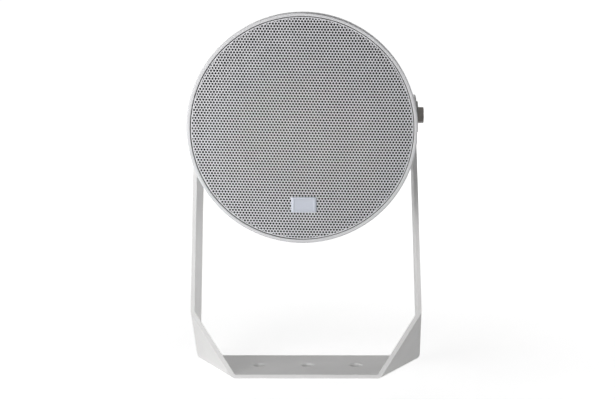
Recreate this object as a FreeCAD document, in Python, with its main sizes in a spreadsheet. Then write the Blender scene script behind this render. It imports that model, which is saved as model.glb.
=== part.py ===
import FreeCAD, Part
import math
import os
from types import SimpleNamespace

import Sketcher

# Sound projector loudspeaker: a round housing behind a domed perforated grille, carried at its two
# sides by a folded sheet bracket. Millimetres, +Z up, the grille looks along -Y. The origin is the
# middle base hole, on the face of the bracket that goes against a wall, ceiling or shelf.
# "Depth" is counted backwards from the front plane of the rim, along the speaker's axis.

SIZES = [
    # Folded bracket
    ("bracket_sheet", 3.5),
    ("bracket_width", 209),
    ("bracket_depth", 70),
    ("pad_width", 195),
    ("pad_drop", 27),
    ("pivot_height", 232),
    ("arm_end_rise", 17.5),
    ("arm_corner", 26),
    ("facet_height", 60),
    ("facet_reach", 38.5),
    ("facet_rear_height", 4),
    ("bend_radius", 0.8),
    ("base_hole", 11),
    ("base_hole_spacing", 44),
    ("pivot_hole", 9),
    # Pivot hardware
    ("bolt_diameter", 8),
    ("bolt_length", 25),
    ("bolt_head_width", 13),
    ("bolt_head_height", 5.3),
    ("bolt_head_turn", 14),
    ("bolt_head_chamfer", 25),
    ("washer_diameter", 25),
    ("washer_thickness", 2),
    ("disc_diameter", 30),
    ("disc_thickness", 2),
    ("boss_diameter", 32),
    ("boss_root", 68),
    # Front ring and grille
    ("front_reach", 115),
    ("ring_radius", 95),
    ("ring_depth", 20),
    ("rim_width", 3),
    ("rim_round", 1.4),
    ("rim_inner_round", 0.5),
    ("skirt_wall", 2.8),
    ("ledge_width", 7.5),
    ("ledge_thickness", 3),
    ("grille_sheet", 1),
    ("grille_recess", 0.7),
    ("grille_rise", 2.5),
    ("grille_gap", 0.4),
    ("perforation_pitch", 8.4),
    ("perforation_hole", 5.2),
    ("perforation_border", 1.6),
    ("perforation_turn", 1),
    ("badge_width", 21),
    ("badge_height", 13),
    ("badge_thickness", 1.2),
    ("badge_corner", 0.8),
    ("badge_lip", 1.3),
    ("badge_dish", 0.4),
    ("badge_drop", 62.5),
    ("badge_shift", 1.2),
    # Housing and rear cover
    ("seal_thickness", 1),
    ("fit_gap", 0.3),
    ("thread_gap", 0.1),
    ("housing_reach", 185),
    ("housing_front_radius", 88),
    ("housing_rear_radius", 82),
    ("housing_wall", 3),
    ("housing_shoulder", 1),
    ("shelf_setback", 5.3),
    ("shelf_thickness", 4),
    ("cutout_radius", 72),
    ("rear_opening", 66),
    ("rear_flange", 5),
    ("cover_thickness", 4),
    ("cover_edge", 1.5),
    ("spigot_depth", 5),
    ("spigot_wall", 3),
    ("post_diameter", 9),
    ("post_height", 6),
    # Screws
    ("ring_screw", 3),
    ("ring_screw_head", 5.6),
    ("ring_screw_head_height", 1.4),
    ("ring_screw_length", 11),
    ("ring_screw_circle", 88.3),
    ("pan_screw", 4),
    ("pan_screw_head", 7.6),
    ("pan_screw_head_height", 2.6),
    ("driver_screw_length", 7),
    ("driver_screw_circle", 78),
    ("cover_screw_length", 10),
    ("cover_screw_circle", 72.5),
    ("post_screw_length", 6),
    # Loudspeaker driver
    ("gasket_thickness", 0.8),
    ("flange_radius", 82.5),
    ("basket_sheet", 1.2),
    ("basket_mouth", 70),
    ("spider_seat_outer", 44),
    ("spider_seat_inner", 39),
    ("spider_seat_depth", 36),
    ("basket_depth", 48),
    ("window_inner", 49),
    ("window_outer", 64),
    ("window_inner_width", 24),
    ("window_outer_width", 40),
    ("top_plate_radius", 38),
    ("top_plate_thickness", 6),
    ("top_plate_bore", 14.6),
    ("magnet_radius", 45),
    ("magnet_bore", 24),
    ("magnet_thickness", 15),
    ("yoke_thickness", 6),
    ("pole_radius", 12.3),
    ("pole_front_gap", 1.2),
    ("surround_sheet", 0.8),
    ("surround_outer_lip", 73.5),
    ("roll_outer", 70),
    ("roll_inner", 61),
    ("cone_lip", 3.5),
    ("cone_sheet", 0.8),
    ("cone_depth", 27),
    ("glue_gap", 0.2),
    ("former_radius", 13.2),
    ("former_wall", 0.4),
    ("former_length", 33),
    ("former_neck", 3),
    ("winding_radius", 13.9),
    ("winding_length", 10.4),
    ("dust_cap_radius", 17),
    ("dust_cap_rise", 6),
    ("dust_cap_sheet", 0.6),
    ("spider_sheet", 0.6),
    ("spider_wave", 1.4),
    # Line transformer and terminal block
    ("core_width", 57),
    ("core_height", 48),
    ("core_stack", 20),
    ("core_limb", 9.5),
    ("core_gap", 0.2),
    ("strap_sheet", 1),
    ("strap_foot", 12),
    ("transformer_rise", 25),
    ("block_length", 32),
    ("block_height", 12),
    ("block_thickness", 14),
    ("block_drop", 10.5),
    ("block_pole_pitch", 9),
    ("block_pole", 5),
    # Cable gland
    ("gland_drop", 35),
    ("gland_thread", 20),
    ("gland_bore", 13),
    ("gland_across", 24),
    ("gland_flange", 5),
    ("gland_stub", 8),
    ("gland_stub_diameter", 18),
    ("gland_grip", 12),
    ("locknut_height", 5),
    ("cap_across", 22),
    ("cap_hex_height", 9),
    ("cap_length", 17),
    ("cap_lip", 3),
    ("cap_bore", 12),
    ("gland_seal_bore", 10),
]

RING_SCREWS = 6
DRIVER_SCREWS = 4
COVER_SCREWS = 4
BASKET_WINDOWS = 6
SPIDER_WAVES = 5
BLOCK_POLES = 3
OVERRUN = 2
FOLD_SHARE = 0.9
LEAST_CUT = 1e-3
SAME_PLACE = 1e-3
UPRIGHT = 0.999
HALF_ROOT_THREE = math.sqrt(3) / 2
HALF_ROOT_TWO = math.sqrt(2) / 2

doc = FreeCAD.newDocument("sound_projector")
sheet = doc.addObject("Spreadsheet::Sheet", "sizes")
for row, (alias, number) in enumerate(SIZES, start=1):
    sheet.set(f"A{row}", alias)
    sheet.set(f"B{row}", str(number))
    sheet.setAlias(f"B{row}", alias)
doc.recompute()


class Dim:
    """A size that carries its number and the sheet expression that gives it."""

    def __init__(self, value, text):
        self.value = value
        self.text = text

    def __add__(self, other):
        other = as_dim(other)
        return Dim(self.value + other.value, f"({self.text} + {other.text})")

    def __sub__(self, other):
        other = as_dim(other)
        return Dim(self.value - other.value, f"({self.text} - {other.text})")

    def __mul__(self, other):
        other = as_dim(other)
        return Dim(self.value * other.value, f"({self.text} * {other.text})")

    def __truediv__(self, other):
        other = as_dim(other)
        return Dim(self.value / other.value, f"({self.text} / {other.text})")

    def __radd__(self, other):
        return as_dim(other) + self

    def __rsub__(self, other):
        return as_dim(other) - self

    def __rmul__(self, other):
        return as_dim(other) * self

    def __neg__(self):
        return as_dim(0) - self

    def root(self):
        """The square root."""
        return Dim(math.sqrt(self.value), f"sqrt({self.text})")


def as_dim(number):
    """A plain number as a Dim; a Dim as it is."""
    if isinstance(number, Dim):
        return number
    return Dim(float(number), f"({float(number)!r})")


def cosine(angle):
    """The cosine of an angle in degrees."""
    return Dim(math.cos(math.radians(angle.value)), f"cos({angle.text})")


def arc_tangent(slope):
    """The angle in degrees that has a tangent."""
    return Dim(math.degrees(math.atan(slope.value)), f"atan({slope.text})")


def sine(angle):
    """The sine of an angle in degrees."""
    return Dim(math.sin(math.radians(angle.value)), f"sin({angle.text})")


def tangent(angle):
    """The tangent of an angle in degrees."""
    return Dim(math.tan(math.radians(angle.value)), f"tan({angle.text})")


def arc_sine(share):
    """The angle in degrees that has a sine."""
    return Dim(math.degrees(math.asin(share.value)), f"asin({share.text})")


S = SimpleNamespace(**{alias: Dim(float(number), f"sizes.{alias}") for alias, number in SIZES})
ZERO = as_dim(0)
RIGHT_ANGLE = Dim(90.0, "90 deg")


def vec(x, y, z):
    return FreeCAD.Vector(x, y, z)


def bind(obj, prop, dim):
    """Tie a property of a document object to the sheet."""
    obj.setExpression(prop, as_dim(dim).text)


# Where the main planes lie, counted from the rim's front plane

LEDGE_FRONT = S.grille_recess + S.grille_sheet
LEDGE_BACK = LEDGE_FRONT + S.ledge_thickness
LEDGE_RADIUS = S.ring_radius - S.rim_width - S.ledge_width
HOUSING_FRONT = LEDGE_BACK + S.seal_thickness
SKIRT_RADIUS = S.ring_radius - S.skirt_wall
RIM_FIT_RADIUS = SKIRT_RADIUS - S.fit_gap
SHELF_FRONT = HOUSING_FRONT + S.shelf_setback
FLANGE_BACK = SHELF_FRONT - S.gasket_thickness
FLANGE_FRONT = FLANGE_BACK - S.basket_sheet
MAGNET_FACE = FLANGE_FRONT + S.basket_depth + S.basket_sheet
COVER_FACE = S.housing_reach + S.seal_thickness
COVER_BACK = COVER_FACE + S.cover_thickness
GRILLE_RADIUS = S.ring_radius - S.rim_width - S.grille_gap
PAD_HALF = S.pad_width / 2
BOSS_FACE = PAD_HALF - S.bracket_sheet - S.disc_thickness
HEAD_FACE = PAD_HALF + S.washer_thickness
DOME_RADIUS = (GRILLE_RADIUS * GRILLE_RADIUS + S.grille_rise * S.grille_rise) / (2 * S.grille_rise)


# Building helpers

def plane_of(body, role):
    """One of a body's own origin planes or axes."""
    return next(item for item in body.Origin.OriginFeatures if item.Role == role)


def new_body(label, x=ZERO, y=ZERO, z=ZERO, angle=0):
    """A body at x, y, z, turned by an angle in degrees about the X direction."""
    body = doc.addObject("PartDesign::Body", label)
    body.Label = label
    body.Placement = FreeCAD.Placement(vec(0, 0, 0), FreeCAD.Rotation(vec(1, 0, 0), angle))
    bind(body, "Placement.Base.x", x)
    bind(body, "Placement.Base.y", y)
    bind(body, "Placement.Base.z", z)
    return body


def axis_body(label, depth, rise=ZERO):
    """A body on the speaker's axis: local Z runs back from a depth, and local -Y is up."""
    return new_body(label, y=depth - S.front_reach, z=S.pivot_height + rise, angle=-90)


def side_body(label):
    """A body on the pivot axis: local Z runs outwards along +X."""
    body = new_body(label, z=S.pivot_height)
    body.Placement = FreeCAD.Placement(vec(0, 0, 0), FreeCAD.Rotation(vec(0, 1, 0), 90))
    bind(body, "Placement.Base.z", S.pivot_height)
    return body


def new_sketch(body, role, offset=None):
    """An empty sketch on one of the body's origin planes, moved along its normal."""
    sketch = body.newObject("Sketcher::SketchObject", f"{body.Name}_sketch")
    sketch.AttachmentSupport = [(plane_of(body, role), "")]
    sketch.MapMode = "FlatFace"
    if offset is not None:
        bind(sketch, "AttachmentOffset.Base.z", offset)
    return sketch


def fix_point(sketch, geometry, end, x, y):
    """Hold a point of the sketch at x, y from the sketch's origin."""
    for kind, dim, axis in (("DistanceX", x, -2), ("DistanceY", y, -1)):
        if dim is ZERO:
            sketch.addConstraint(Sketcher.Constraint("PointOnObject", geometry, end, axis))
            continue
        dim = as_dim(dim)
        index = sketch.addConstraint(Sketcher.Constraint(kind, -1, 1, geometry, end, dim.value))
        sketch.setExpression(f"Constraints[{index}]", dim.text)


def arc_between(start, end, centre):
    """The arc from start to end about a centre, always drawn anticlockwise."""
    radius = math.dist(start, centre)
    first = math.atan2(start[1] - centre[1], start[0] - centre[0])
    last = math.atan2(end[1] - centre[1], end[0] - centre[0])
    circle = Part.Circle(vec(*centre, 0), vec(0, 0, 1), radius)
    return Part.ArcOfCircle(circle, first, last if last > first else last + 2 * math.pi)


def add_outline(sketch, corners, arcs=None):
    """A closed outline through corners. arcs maps an edge's number to (clockwise, centre).

    An arc between level ends is held by the height of its centre, any other by a centre on x = 0.
    """
    arcs = arcs or {}
    count = len(corners)
    points = [(as_dim(x).value, as_dim(y).value) for x, y in corners]
    ends = []
    for i in range(count):
        start, end = points[i], points[(i + 1) % count]
        if i not in arcs:
            index = sketch.addGeometry(Part.LineSegment(vec(*start, 0), vec(*end, 0)))
            ends.append((index, 1, 2))
            continue
        clockwise, centre = arcs[i]
        where = (as_dim(centre[0]).value, as_dim(centre[1]).value)
        if clockwise:
            index = sketch.addGeometry(arc_between(end, start, where))
            ends.append((index, 2, 1))
        else:
            index = sketch.addGeometry(arc_between(start, end, where))
            ends.append((index, 1, 2))
    for i in range(count):
        index, first, last = ends[i]
        following = ends[(i + 1) % count]
        sketch.addConstraint(
            Sketcher.Constraint("Coincident", index, last, following[0], following[1])
        )
        fix_point(sketch, index, first, *corners[i])
    for i, (clockwise, centre) in arcs.items():
        arc = ends[i][0]
        if abs(points[i][1] - points[(i + 1) % count][1]) > 1e-9:
            sketch.addConstraint(Sketcher.Constraint("PointOnObject", arc, 3, -2))
            continue
        level = as_dim(centre[1])
        index = sketch.addConstraint(Sketcher.Constraint("DistanceY", -1, 1, arc, 3, level.value))
        sketch.setExpression(f"Constraints[{index}]", level.text)


def add_circle(sketch, x, y, radius):
    """A circle held at x, y."""
    middle = vec(as_dim(x).value, as_dim(y).value, 0)
    index = sketch.addGeometry(Part.Circle(middle, vec(0, 0, 1), radius.value))
    fix_point(sketch, index, 3, x, y)
    held = sketch.addConstraint(Sketcher.Constraint("Radius", index, radius.value))
    sketch.setExpression(f"Constraints[{held}]", radius.text)


def turned_feature(body, kind, corners, arcs, axis):
    """A feature that spins a (radius, depth) section about the body's Z, or about x = axis."""
    sketch = new_sketch(body, "XZ_Plane")
    add_outline(sketch, corners, arcs)
    line = "V_Axis"
    if axis is not None:
        index = sketch.addGeometry(Part.LineSegment(vec(axis.value, 0, 0), vec(axis.value, 1, 0)), True)
        fix_point(sketch, index, 1, axis, ZERO)
        fix_point(sketch, index, 2, axis, as_dim(1))
        line = "Axis0"
    feature = body.newObject(kind, f"{body.Name}_turned")
    feature.Profile = sketch
    feature.ReferenceAxis = (sketch, [line])
    feature.Angle = 360
    doc.recompute()
    return feature


def turn(body, corners, arcs=None, axis=None):
    """A turned form."""
    return turned_feature(body, "PartDesign::Revolution", corners, arcs, axis)


def turn_away(body, corners, axis=None):
    """A turned cut."""
    before = body.Shape.Volume
    feature = turned_feature(body, "PartDesign::Groove", corners, None, axis)
    if feature.Shape.Volume > before - LEAST_CUT:
        raise RuntimeError(f"a turned cut in {body.Label} removed nothing")
    return feature


def pad(body, sketch, length):
    """Raise a sketch along its normal."""
    feature = body.newObject("PartDesign::Pad", f"{body.Name}_pad")
    feature.Profile = sketch
    feature.Length = length.value
    bind(feature, "Length", length)
    doc.recompute()
    return feature


def pocket(body, sketch, length=None, forwards=True):
    """Cut a sketch along its normal, or back from it, or both ways through everything."""
    before = body.Shape.Volume
    feature = body.newObject("PartDesign::Pocket", f"{body.Name}_pocket")
    feature.Profile = sketch
    if length is None:
        feature.Type = "ThroughAll"
        feature.SideType = "Symmetric"
    else:
        bind(feature, "Length", length)
        feature.Reversed = forwards
    doc.recompute()
    if feature.Shape.Volume > before - LEAST_CUT:
        raise RuntimeError(f"a cut in {body.Label} removed nothing")
    return feature


def spread(body, features, count):
    """Repeat features evenly about the body's Z."""
    pattern = body.newObject("PartDesign::PolarPattern", f"{body.Name}_spread")
    pattern.Originals = features
    pattern.Axis = (plane_of(body, "Z_Axis"), [""])
    pattern.Angle = 360
    pattern.Occurrences = count
    body.Tip = pattern
    doc.recompute()
    return pattern


def mirror(body, features, role):
    """Repeat features on the other side of one of the body's origin planes."""
    copy = body.newObject("PartDesign::Mirrored", f"{body.Name}_mirrored")
    copy.Originals = features
    copy.MirrorPlane = (plane_of(body, role), [""])
    body.Tip = copy
    doc.recompute()
    return copy


def round_edges(body, radius, chosen):
    """Fillet the edges of a body that a test picks."""
    base = body.Tip
    names = [f"Edge{i}" for i, edge in enumerate(base.Shape.Edges, start=1) if chosen(edge)]
    if not names:
        raise RuntimeError(f"no edge to round on {body.Label}")
    feature = body.newObject("PartDesign::Fillet", f"{body.Name}_round")
    feature.Base = (base, names)
    bind(feature, "Radius", radius)
    doc.recompute()
    return feature


def is_ring_edge(edge, radius, level):
    """Is this edge a circle of a radius about the body's Z, at a height?"""
    curve = edge.Curve
    if not isinstance(curve, Part.Circle):
        return False
    near = abs(curve.Radius - radius.value) < SAME_PLACE
    return near and abs(curve.Center.z - level.value) < SAME_PLACE


def hole_circle(body, radius, circle, start, length, count, forwards=True, diagonal=False):
    """A ring of round holes about the body's Z."""
    sketch = new_sketch(body, "XY_Plane", start)
    if diagonal:
        add_circle(sketch, circle * HALF_ROOT_TWO, circle * HALF_ROOT_TWO, radius)
    else:
        add_circle(sketch, circle, ZERO, radius)
    return spread(body, [pocket(body, sketch, length, forwards)], count)


def hexagon(across, turned=None):
    """The corners of a hexagon of a width across its flats, with a corner on +X unless turned."""
    corner = across / (2 * HALF_ROOT_THREE)
    points = []
    for k in range(6):
        angle = as_dim(60 * k)
        if turned is not None:
            angle = angle + turned
        points.append((corner * cosine(angle), corner * sine(angle)))
    return points


def rectangle(half_x, half_y, x=ZERO, y=ZERO):
    """The corners of a rectangle about x, y."""
    return [
        (x - half_x, y - half_y),
        (x + half_x, y - half_y),
        (x + half_x, y + half_y),
        (x - half_x, y + half_y),
    ]


def screw_set(label, depth, section, circle, count, diagonal=False):
    """Equal screws about the speaker's axis, from one (radius, depth) section."""
    body = axis_body(label, depth)
    if diagonal:
        body.Placement = FreeCAD.Placement(
            vec(0, 0, 0),
            FreeCAD.Rotation(vec(1, 0, 0), -90).multiply(FreeCAD.Rotation(vec(0, 0, 1), 45)),
        )
        bind(body, "Placement.Base.y", depth - S.front_reach)
        bind(body, "Placement.Base.z", S.pivot_height)
    corners = [(circle + radius, along) for radius, along in section]
    spread(body, [turn(body, corners, axis=circle)], count)
    return body


def pan_head_section(length):
    """Half section of a pan-head screw whose head comes first along its axis."""
    head = S.pan_screw_head / 2
    crown = S.pan_screw_head_height / 3
    return [
        (ZERO, ZERO),
        (head - crown, ZERO),
        (head, crown),
        (head, S.pan_screw_head_height),
        (S.pan_screw / 2, S.pan_screw_head_height),
        (S.pan_screw / 2, S.pan_screw_head_height + length),
        (ZERO, S.pan_screw_head_height + length),
    ]


# Bracket: one folded strip whose two front corners are folded flat into triangles

def strip_outline(wall, top):
    """Right half of the strip's U from its top down to its base, wall inside the outer face."""
    base_half = S.bracket_width / 2
    bend = S.pivot_height - S.pad_drop
    lean = (base_half - PAD_HALF) / bend
    stretch = (1 + lean * lean).root()
    return [
        (PAD_HALF - wall, top),
        (PAD_HALF - wall, bend + wall * (1 - stretch) / lean),
        (base_half - lean * wall - wall * stretch, wall),
    ]


def both_halves(right):
    """A right half outline and its mirror image, as one run of corners."""
    return right + [(-x, z) for x, z in reversed(right)]


def make_bracket():
    body = new_body("bracket")
    half = S.bracket_depth / 2
    base_half = S.bracket_width / 2
    top = S.pivot_height + S.arm_end_rise
    outside = strip_outline(ZERO, top)
    inside = strip_outline(S.bracket_sheet, top)
    strip = new_sketch(body, "XZ_Plane", -half)
    add_outline(strip, both_halves(outside) + list(reversed(both_halves(inside))))
    pad(body, strip, S.bracket_depth)

    # Each triangle is flat. Seen along its front edge it is one slanting line, so it is drawn there.
    lean = (base_half - PAD_HALF) / (S.pivot_height - S.pad_drop)
    run = S.facet_reach - lean * S.facet_height
    edge = (run * run + S.facet_height * S.facet_height).root()
    rear_share = S.facet_rear_height / S.facet_height
    front_cut = S.facet_height * (base_half - S.facet_reach) / edge
    rear_cut = S.facet_height * (base_half - rear_share * S.facet_reach) / edge
    slope = (rear_cut - front_cut) / S.bracket_depth
    skin = S.bracket_sheet * (1 + slope * slope).root()
    beyond = base_half + OVERRUN
    extra = slope * OVERRUN

    def along_triangle():
        """A sketch square to the triangle's front edge: x points out of the corner, y is depth."""
        sketch = new_sketch(body, "XY_Plane")
        angle = arc_tangent(run / S.facet_height)
        sketch.AttachmentOffset = FreeCAD.Placement(
            vec(0, 0, 0), FreeCAD.Rotation(vec(0, 1, 0), angle.value)
        )
        bind(sketch, "AttachmentOffset.Rotation.Angle", angle)
        return sketch

    filling = along_triangle()
    add_outline(
        filling,
        [(front_cut - skin, -half), (beyond, -half), (beyond, half), (rear_cut - skin, half)],
    )
    filled = pad(body, filling, S.bracket_width)
    mirror(body, [filled], "YZ_Plane")
    trim = new_sketch(body, "XZ_Plane")
    reach = S.bracket_width
    add_outline(trim, [(-reach, -reach), (reach, -reach), (reach, 2 * reach), (-reach, 2 * reach)])
    add_outline(trim, both_halves(outside))
    pocket(body, trim)
    corner = along_triangle()
    add_outline(
        corner,
        [(front_cut - extra, -half - OVERRUN), (beyond, -half - OVERRUN),
         (beyond, half + OVERRUN), (rear_cut + extra, half + OVERRUN)],
    )
    opened = pocket(body, corner, S.bracket_width)
    mirror(body, [opened], "YZ_Plane")

    arm_point = (base_half - lean * S.facet_rear_height, S.facet_rear_height)
    base_point = (base_half - rear_share * S.facet_reach, ZERO)
    outer_spots = [vec(x.value, half.value, z.value) for x, z in (arm_point, base_point)]

    def fold_line(line):
        """The slanting folds run the whole depth and aren't square to it."""
        if len(line.Vertexes) != 2 or not isinstance(line.Curve, Part.Line):
            return False
        step = line.Vertexes[1].Point - line.Vertexes[0].Point
        whole = abs(step.y) > FOLD_SHARE * S.bracket_depth.value
        return whole and math.hypot(step.x, step.z) > OVERRUN

    def on_outside(line):
        """Does a fold end at a rear corner of the outer face?"""
        ends = [vec(abs(v.Point.x), v.Point.y, v.Point.z) for v in line.Vertexes]
        return any(end.distanceToPoint(spot) < SAME_PLACE for end in ends for spot in outer_spots)

    round_edges(body, S.bend_radius, lambda line: fold_line(line) and not on_outside(line))
    round_edges(
        body,
        S.bend_radius + S.bracket_sheet,
        lambda line: fold_line(line) and on_outside(line),
    )

    def arm_corner(line):
        """The short edges across the sheet, at the corners of the arms' ends."""
        middle = line.CenterOfMass
        return abs(middle.z - top.value) < SAME_PLACE and abs(abs(middle.y) - half.value) < SAME_PLACE

    round_edges(body, S.arm_corner, arm_corner)

    holes = new_sketch(body, "XY_Plane")
    for x in (-S.base_hole_spacing, ZERO, S.base_hole_spacing):
        add_circle(holes, x, ZERO, S.base_hole / 2)
    pocket(body, holes, S.bracket_sheet * 2)
    pivots = new_sketch(body, "YZ_Plane")
    add_circle(pivots, ZERO, S.pivot_height, S.pivot_hole / 2)
    pocket(body, pivots)
    return body


# Pivot hardware, the same on both sides

def both_sides(label, first):
    """A node of two equal solids: one on the right, and its mirror image on the left."""
    other = doc.addObject("Part::Mirroring", f"{label}_left")
    other.Source = first
    other.Normal = vec(1, 0, 0)
    pair = doc.addObject("Part::Compound", label)
    pair.Label = label
    pair.Links = [first, other]
    doc.recompute()
    return pair


def make_pivot_bolts():
    body = side_body("pivot_bolt_right")
    head = new_sketch(body, "XY_Plane", HEAD_FACE)
    add_outline(head, hexagon(S.bolt_head_width, S.bolt_head_turn))
    pad(body, head, S.bolt_head_height)
    end = HEAD_FACE + S.bolt_head_height
    flat = S.bolt_head_width / 2
    beyond = S.bolt_head_width
    fall = (beyond - flat) * tangent(S.bolt_head_chamfer)
    turn_away(body, [(flat, end), (beyond, end - fall), (beyond, end)])
    shank = new_sketch(body, "XY_Plane", HEAD_FACE - S.bolt_length)
    add_circle(shank, ZERO, ZERO, S.bolt_diameter / 2)
    pad(body, shank, S.bolt_length)
    return both_sides("pivot_bolts", body)


def make_disc_pair(label, diameter, bore, start, thickness):
    body = side_body(f"{label}_right")
    sketch = new_sketch(body, "XY_Plane", start)
    add_circle(sketch, ZERO, ZERO, diameter / 2)
    add_circle(sketch, ZERO, ZERO, bore / 2)
    pad(body, sketch, thickness)
    return both_sides(label, body)


# Front ring, its seal and screws

def make_front_ring():
    body = axis_body("front_ring", ZERO)
    rim_inner = S.ring_radius - S.rim_width
    turn(
        body,
        [(rim_inner, ZERO), (S.ring_radius, ZERO), (S.ring_radius, S.ring_depth),
         (SKIRT_RADIUS, S.ring_depth), (SKIRT_RADIUS, LEDGE_BACK), (LEDGE_RADIUS, LEDGE_BACK),
         (LEDGE_RADIUS, LEDGE_FRONT), (rim_inner, LEDGE_FRONT)],
    )
    sketch = new_sketch(body, "XY_Plane", LEDGE_FRONT)
    add_circle(sketch, S.ring_screw_circle, ZERO, S.ring_screw / 2 + S.thread_gap)
    through = pocket(body, sketch, S.ledge_thickness * 2)
    head_radius = S.ring_screw_head / 2 + S.thread_gap
    sink = turn_away(
        body,
        [(S.ring_screw_circle, LEDGE_FRONT), (S.ring_screw_circle + head_radius, LEDGE_FRONT),
         (S.ring_screw_circle + S.ring_screw / 2, LEDGE_FRONT + S.ring_screw_head_height),
         (S.ring_screw_circle, LEDGE_FRONT + S.ring_screw_head_height)],
        S.ring_screw_circle,
    )
    spread(body, [through, sink], RING_SCREWS)
    round_edges(body, S.rim_round, lambda edge: is_ring_edge(edge, S.ring_radius, ZERO))
    round_edges(body, S.rim_inner_round, lambda edge: is_ring_edge(edge, rim_inner, ZERO))
    return body


def make_seal(label, depth, inner, outer, thickness, hole, circle, count, diagonal=False):
    """A flat ring seal with its screw holes."""
    body = axis_body(label, depth)
    turn(body, [(inner, ZERO), (outer, ZERO), (outer, thickness), (inner, thickness)])
    hole_circle(body, hole, circle, ZERO, thickness * 2, count, diagonal=diagonal)
    return body


def make_ring_screws():
    shank = S.ring_screw / 2
    head = S.ring_screw_head / 2
    section = [(ZERO, ZERO), (head, ZERO), (shank, S.ring_screw_head_height),
               (shank, S.ring_screw_length), (ZERO, S.ring_screw_length)]
    return screw_set("ring_screws", LEDGE_FRONT, section, S.ring_screw_circle, RING_SCREWS)


# Grille: a shallow dome of perforated sheet, with a bare plate near its lower edge

def make_grille():
    dome = axis_body("grille_dome", S.grille_recess - S.grille_rise)
    centre = DOME_RADIUS
    turn(
        dome,
        [(ZERO, ZERO), (GRILLE_RADIUS, S.grille_rise),
         (GRILLE_RADIUS, S.grille_rise + S.grille_sheet), (ZERO, S.grille_sheet)],
        arcs={0: (False, (ZERO, centre)), 2: (True, (ZERO, centre + S.grille_sheet))},
    )
    punches = doc.addObject("Part::Feature", "grille_punches")
    pitch = sheet.perforation_pitch
    corner = sheet.perforation_hole / (2 * HALF_ROOT_THREE)
    limit = sheet.ring_radius - sheet.rim_width - sheet.grille_gap - sheet.perforation_border - corner
    rows = math.ceil(limit / (pitch * HALF_ROOT_THREE))
    columns = math.ceil(limit / pitch) + 1
    height = 2 * (sheet.grille_rise + sheet.grille_sheet)
    prisms = []
    for row in range(-rows, rows + 1):
        for column in range(-columns, columns + 1):
            x = (column + 0.5 * (row % 2)) * pitch
            y = row * pitch * HALF_ROOT_THREE
            if math.hypot(x, y) > limit:
                continue
            ring = [
                vec(x + corner * math.sin(k * math.pi / 3), y + corner * math.cos(k * math.pi / 3), 0)
                for k in range(7)
            ]
            prisms.append(Part.Face(Part.makePolygon(ring)).extrude(vec(0, 0, height)))
    punches.Shape = Part.makeCompound(prisms)
    punches.Placement = FreeCAD.Placement(
        vec(0, sheet.grille_recess - sheet.front_reach - height / 2, sheet.pivot_height),
        FreeCAD.Rotation(vec(1, 0, 0), -90).multiply(
            FreeCAD.Rotation(vec(0, 0, 1), sheet.perforation_turn)
        ),
    )
    cut = doc.addObject("Part::Cut", "grille")
    cut.Label = "grille"
    cut.Base = dome
    cut.Tool = punches
    doc.recompute()
    return cut


def make_badge_plate():
    body = doc.addObject("PartDesign::Body", "badge_plate")
    body.Label = "badge_plate"
    slant = RIGHT_ANGLE + arc_sine(S.badge_drop / DOME_RADIUS)
    body.Placement = FreeCAD.Placement(vec(0, 0, 0), FreeCAD.Rotation(vec(1, 0, 0), slant.value))
    bind(body, "Placement.Rotation.Angle", slant)
    bind(body, "Placement.Base.x", S.badge_shift)
    sag = DOME_RADIUS - (DOME_RADIUS * DOME_RADIUS - S.badge_drop * S.badge_drop).root()
    bind(body, "Placement.Base.y", S.grille_recess - S.grille_rise + sag - S.front_reach)
    bind(body, "Placement.Base.z", S.pivot_height - S.badge_drop)
    sketch = new_sketch(body, "XY_Plane")
    add_outline(sketch, rectangle(S.badge_width / 2, S.badge_height / 2))
    pad(body, sketch, S.badge_thickness)
    round_edges(
        body,
        S.badge_corner,
        lambda edge: abs(edge.tangentAt(edge.FirstParameter).z) > UPRIGHT,
    )
    field = new_sketch(body, "XY_Plane", S.badge_thickness)
    add_outline(field, rectangle(S.badge_width / 2 - S.badge_lip, S.badge_height / 2 - S.badge_lip))
    pocket(body, field, S.badge_dish, forwards=False)
    return body


# Housing and rear cover

def make_housing():
    body = axis_body("housing", HOUSING_FRONT)
    rim_length = S.ring_depth - HOUSING_FRONT - S.housing_shoulder
    length = S.housing_reach - HOUSING_FRONT
    shelf_back = S.shelf_setback + S.shelf_thickness
    turn(
        body,
        [(LEDGE_RADIUS, ZERO), (RIM_FIT_RADIUS, ZERO), (RIM_FIT_RADIUS, rim_length),
         (S.housing_front_radius, rim_length + S.housing_shoulder),
         (S.housing_rear_radius, length), (S.rear_opening, length),
         (S.rear_opening, length - S.rear_flange),
         (S.housing_rear_radius - S.housing_wall, length - S.rear_flange),
         (S.housing_front_radius - S.housing_wall, shelf_back), (S.cutout_radius, shelf_back),
         (S.cutout_radius, S.shelf_setback), (LEDGE_RADIUS, S.shelf_setback)],
    )
    pivot = S.front_reach - HOUSING_FRONT
    round_boss = new_sketch(body, "YZ_Plane", S.boss_root)
    add_circle(round_boss, ZERO, pivot, S.boss_diameter / 2)
    boss = pad(body, round_boss, BOSS_FACE - S.boss_root)
    tapping = new_sketch(body, "YZ_Plane", BOSS_FACE)
    add_circle(tapping, ZERO, pivot, S.bolt_diameter / 2 + S.thread_gap)
    tapped = pocket(
        body, tapping, BOSS_FACE - HEAD_FACE + S.bolt_length + OVERRUN, forwards=False
    )
    mirror(body, [boss, tapped], "YZ_Plane")
    hole_circle(body, S.ring_screw / 2 + S.thread_gap, S.ring_screw_circle, ZERO,
                S.ring_screw_length, RING_SCREWS)
    hole_circle(body, S.pan_screw / 2 + S.thread_gap, S.driver_screw_circle, S.shelf_setback,
                S.shelf_thickness * 2, DRIVER_SCREWS, diagonal=True)
    hole_circle(body, S.pan_screw / 2 + S.thread_gap, S.cover_screw_circle, length,
                S.rear_flange * 2, COVER_SCREWS, forwards=False, diagonal=True)
    return body


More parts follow.
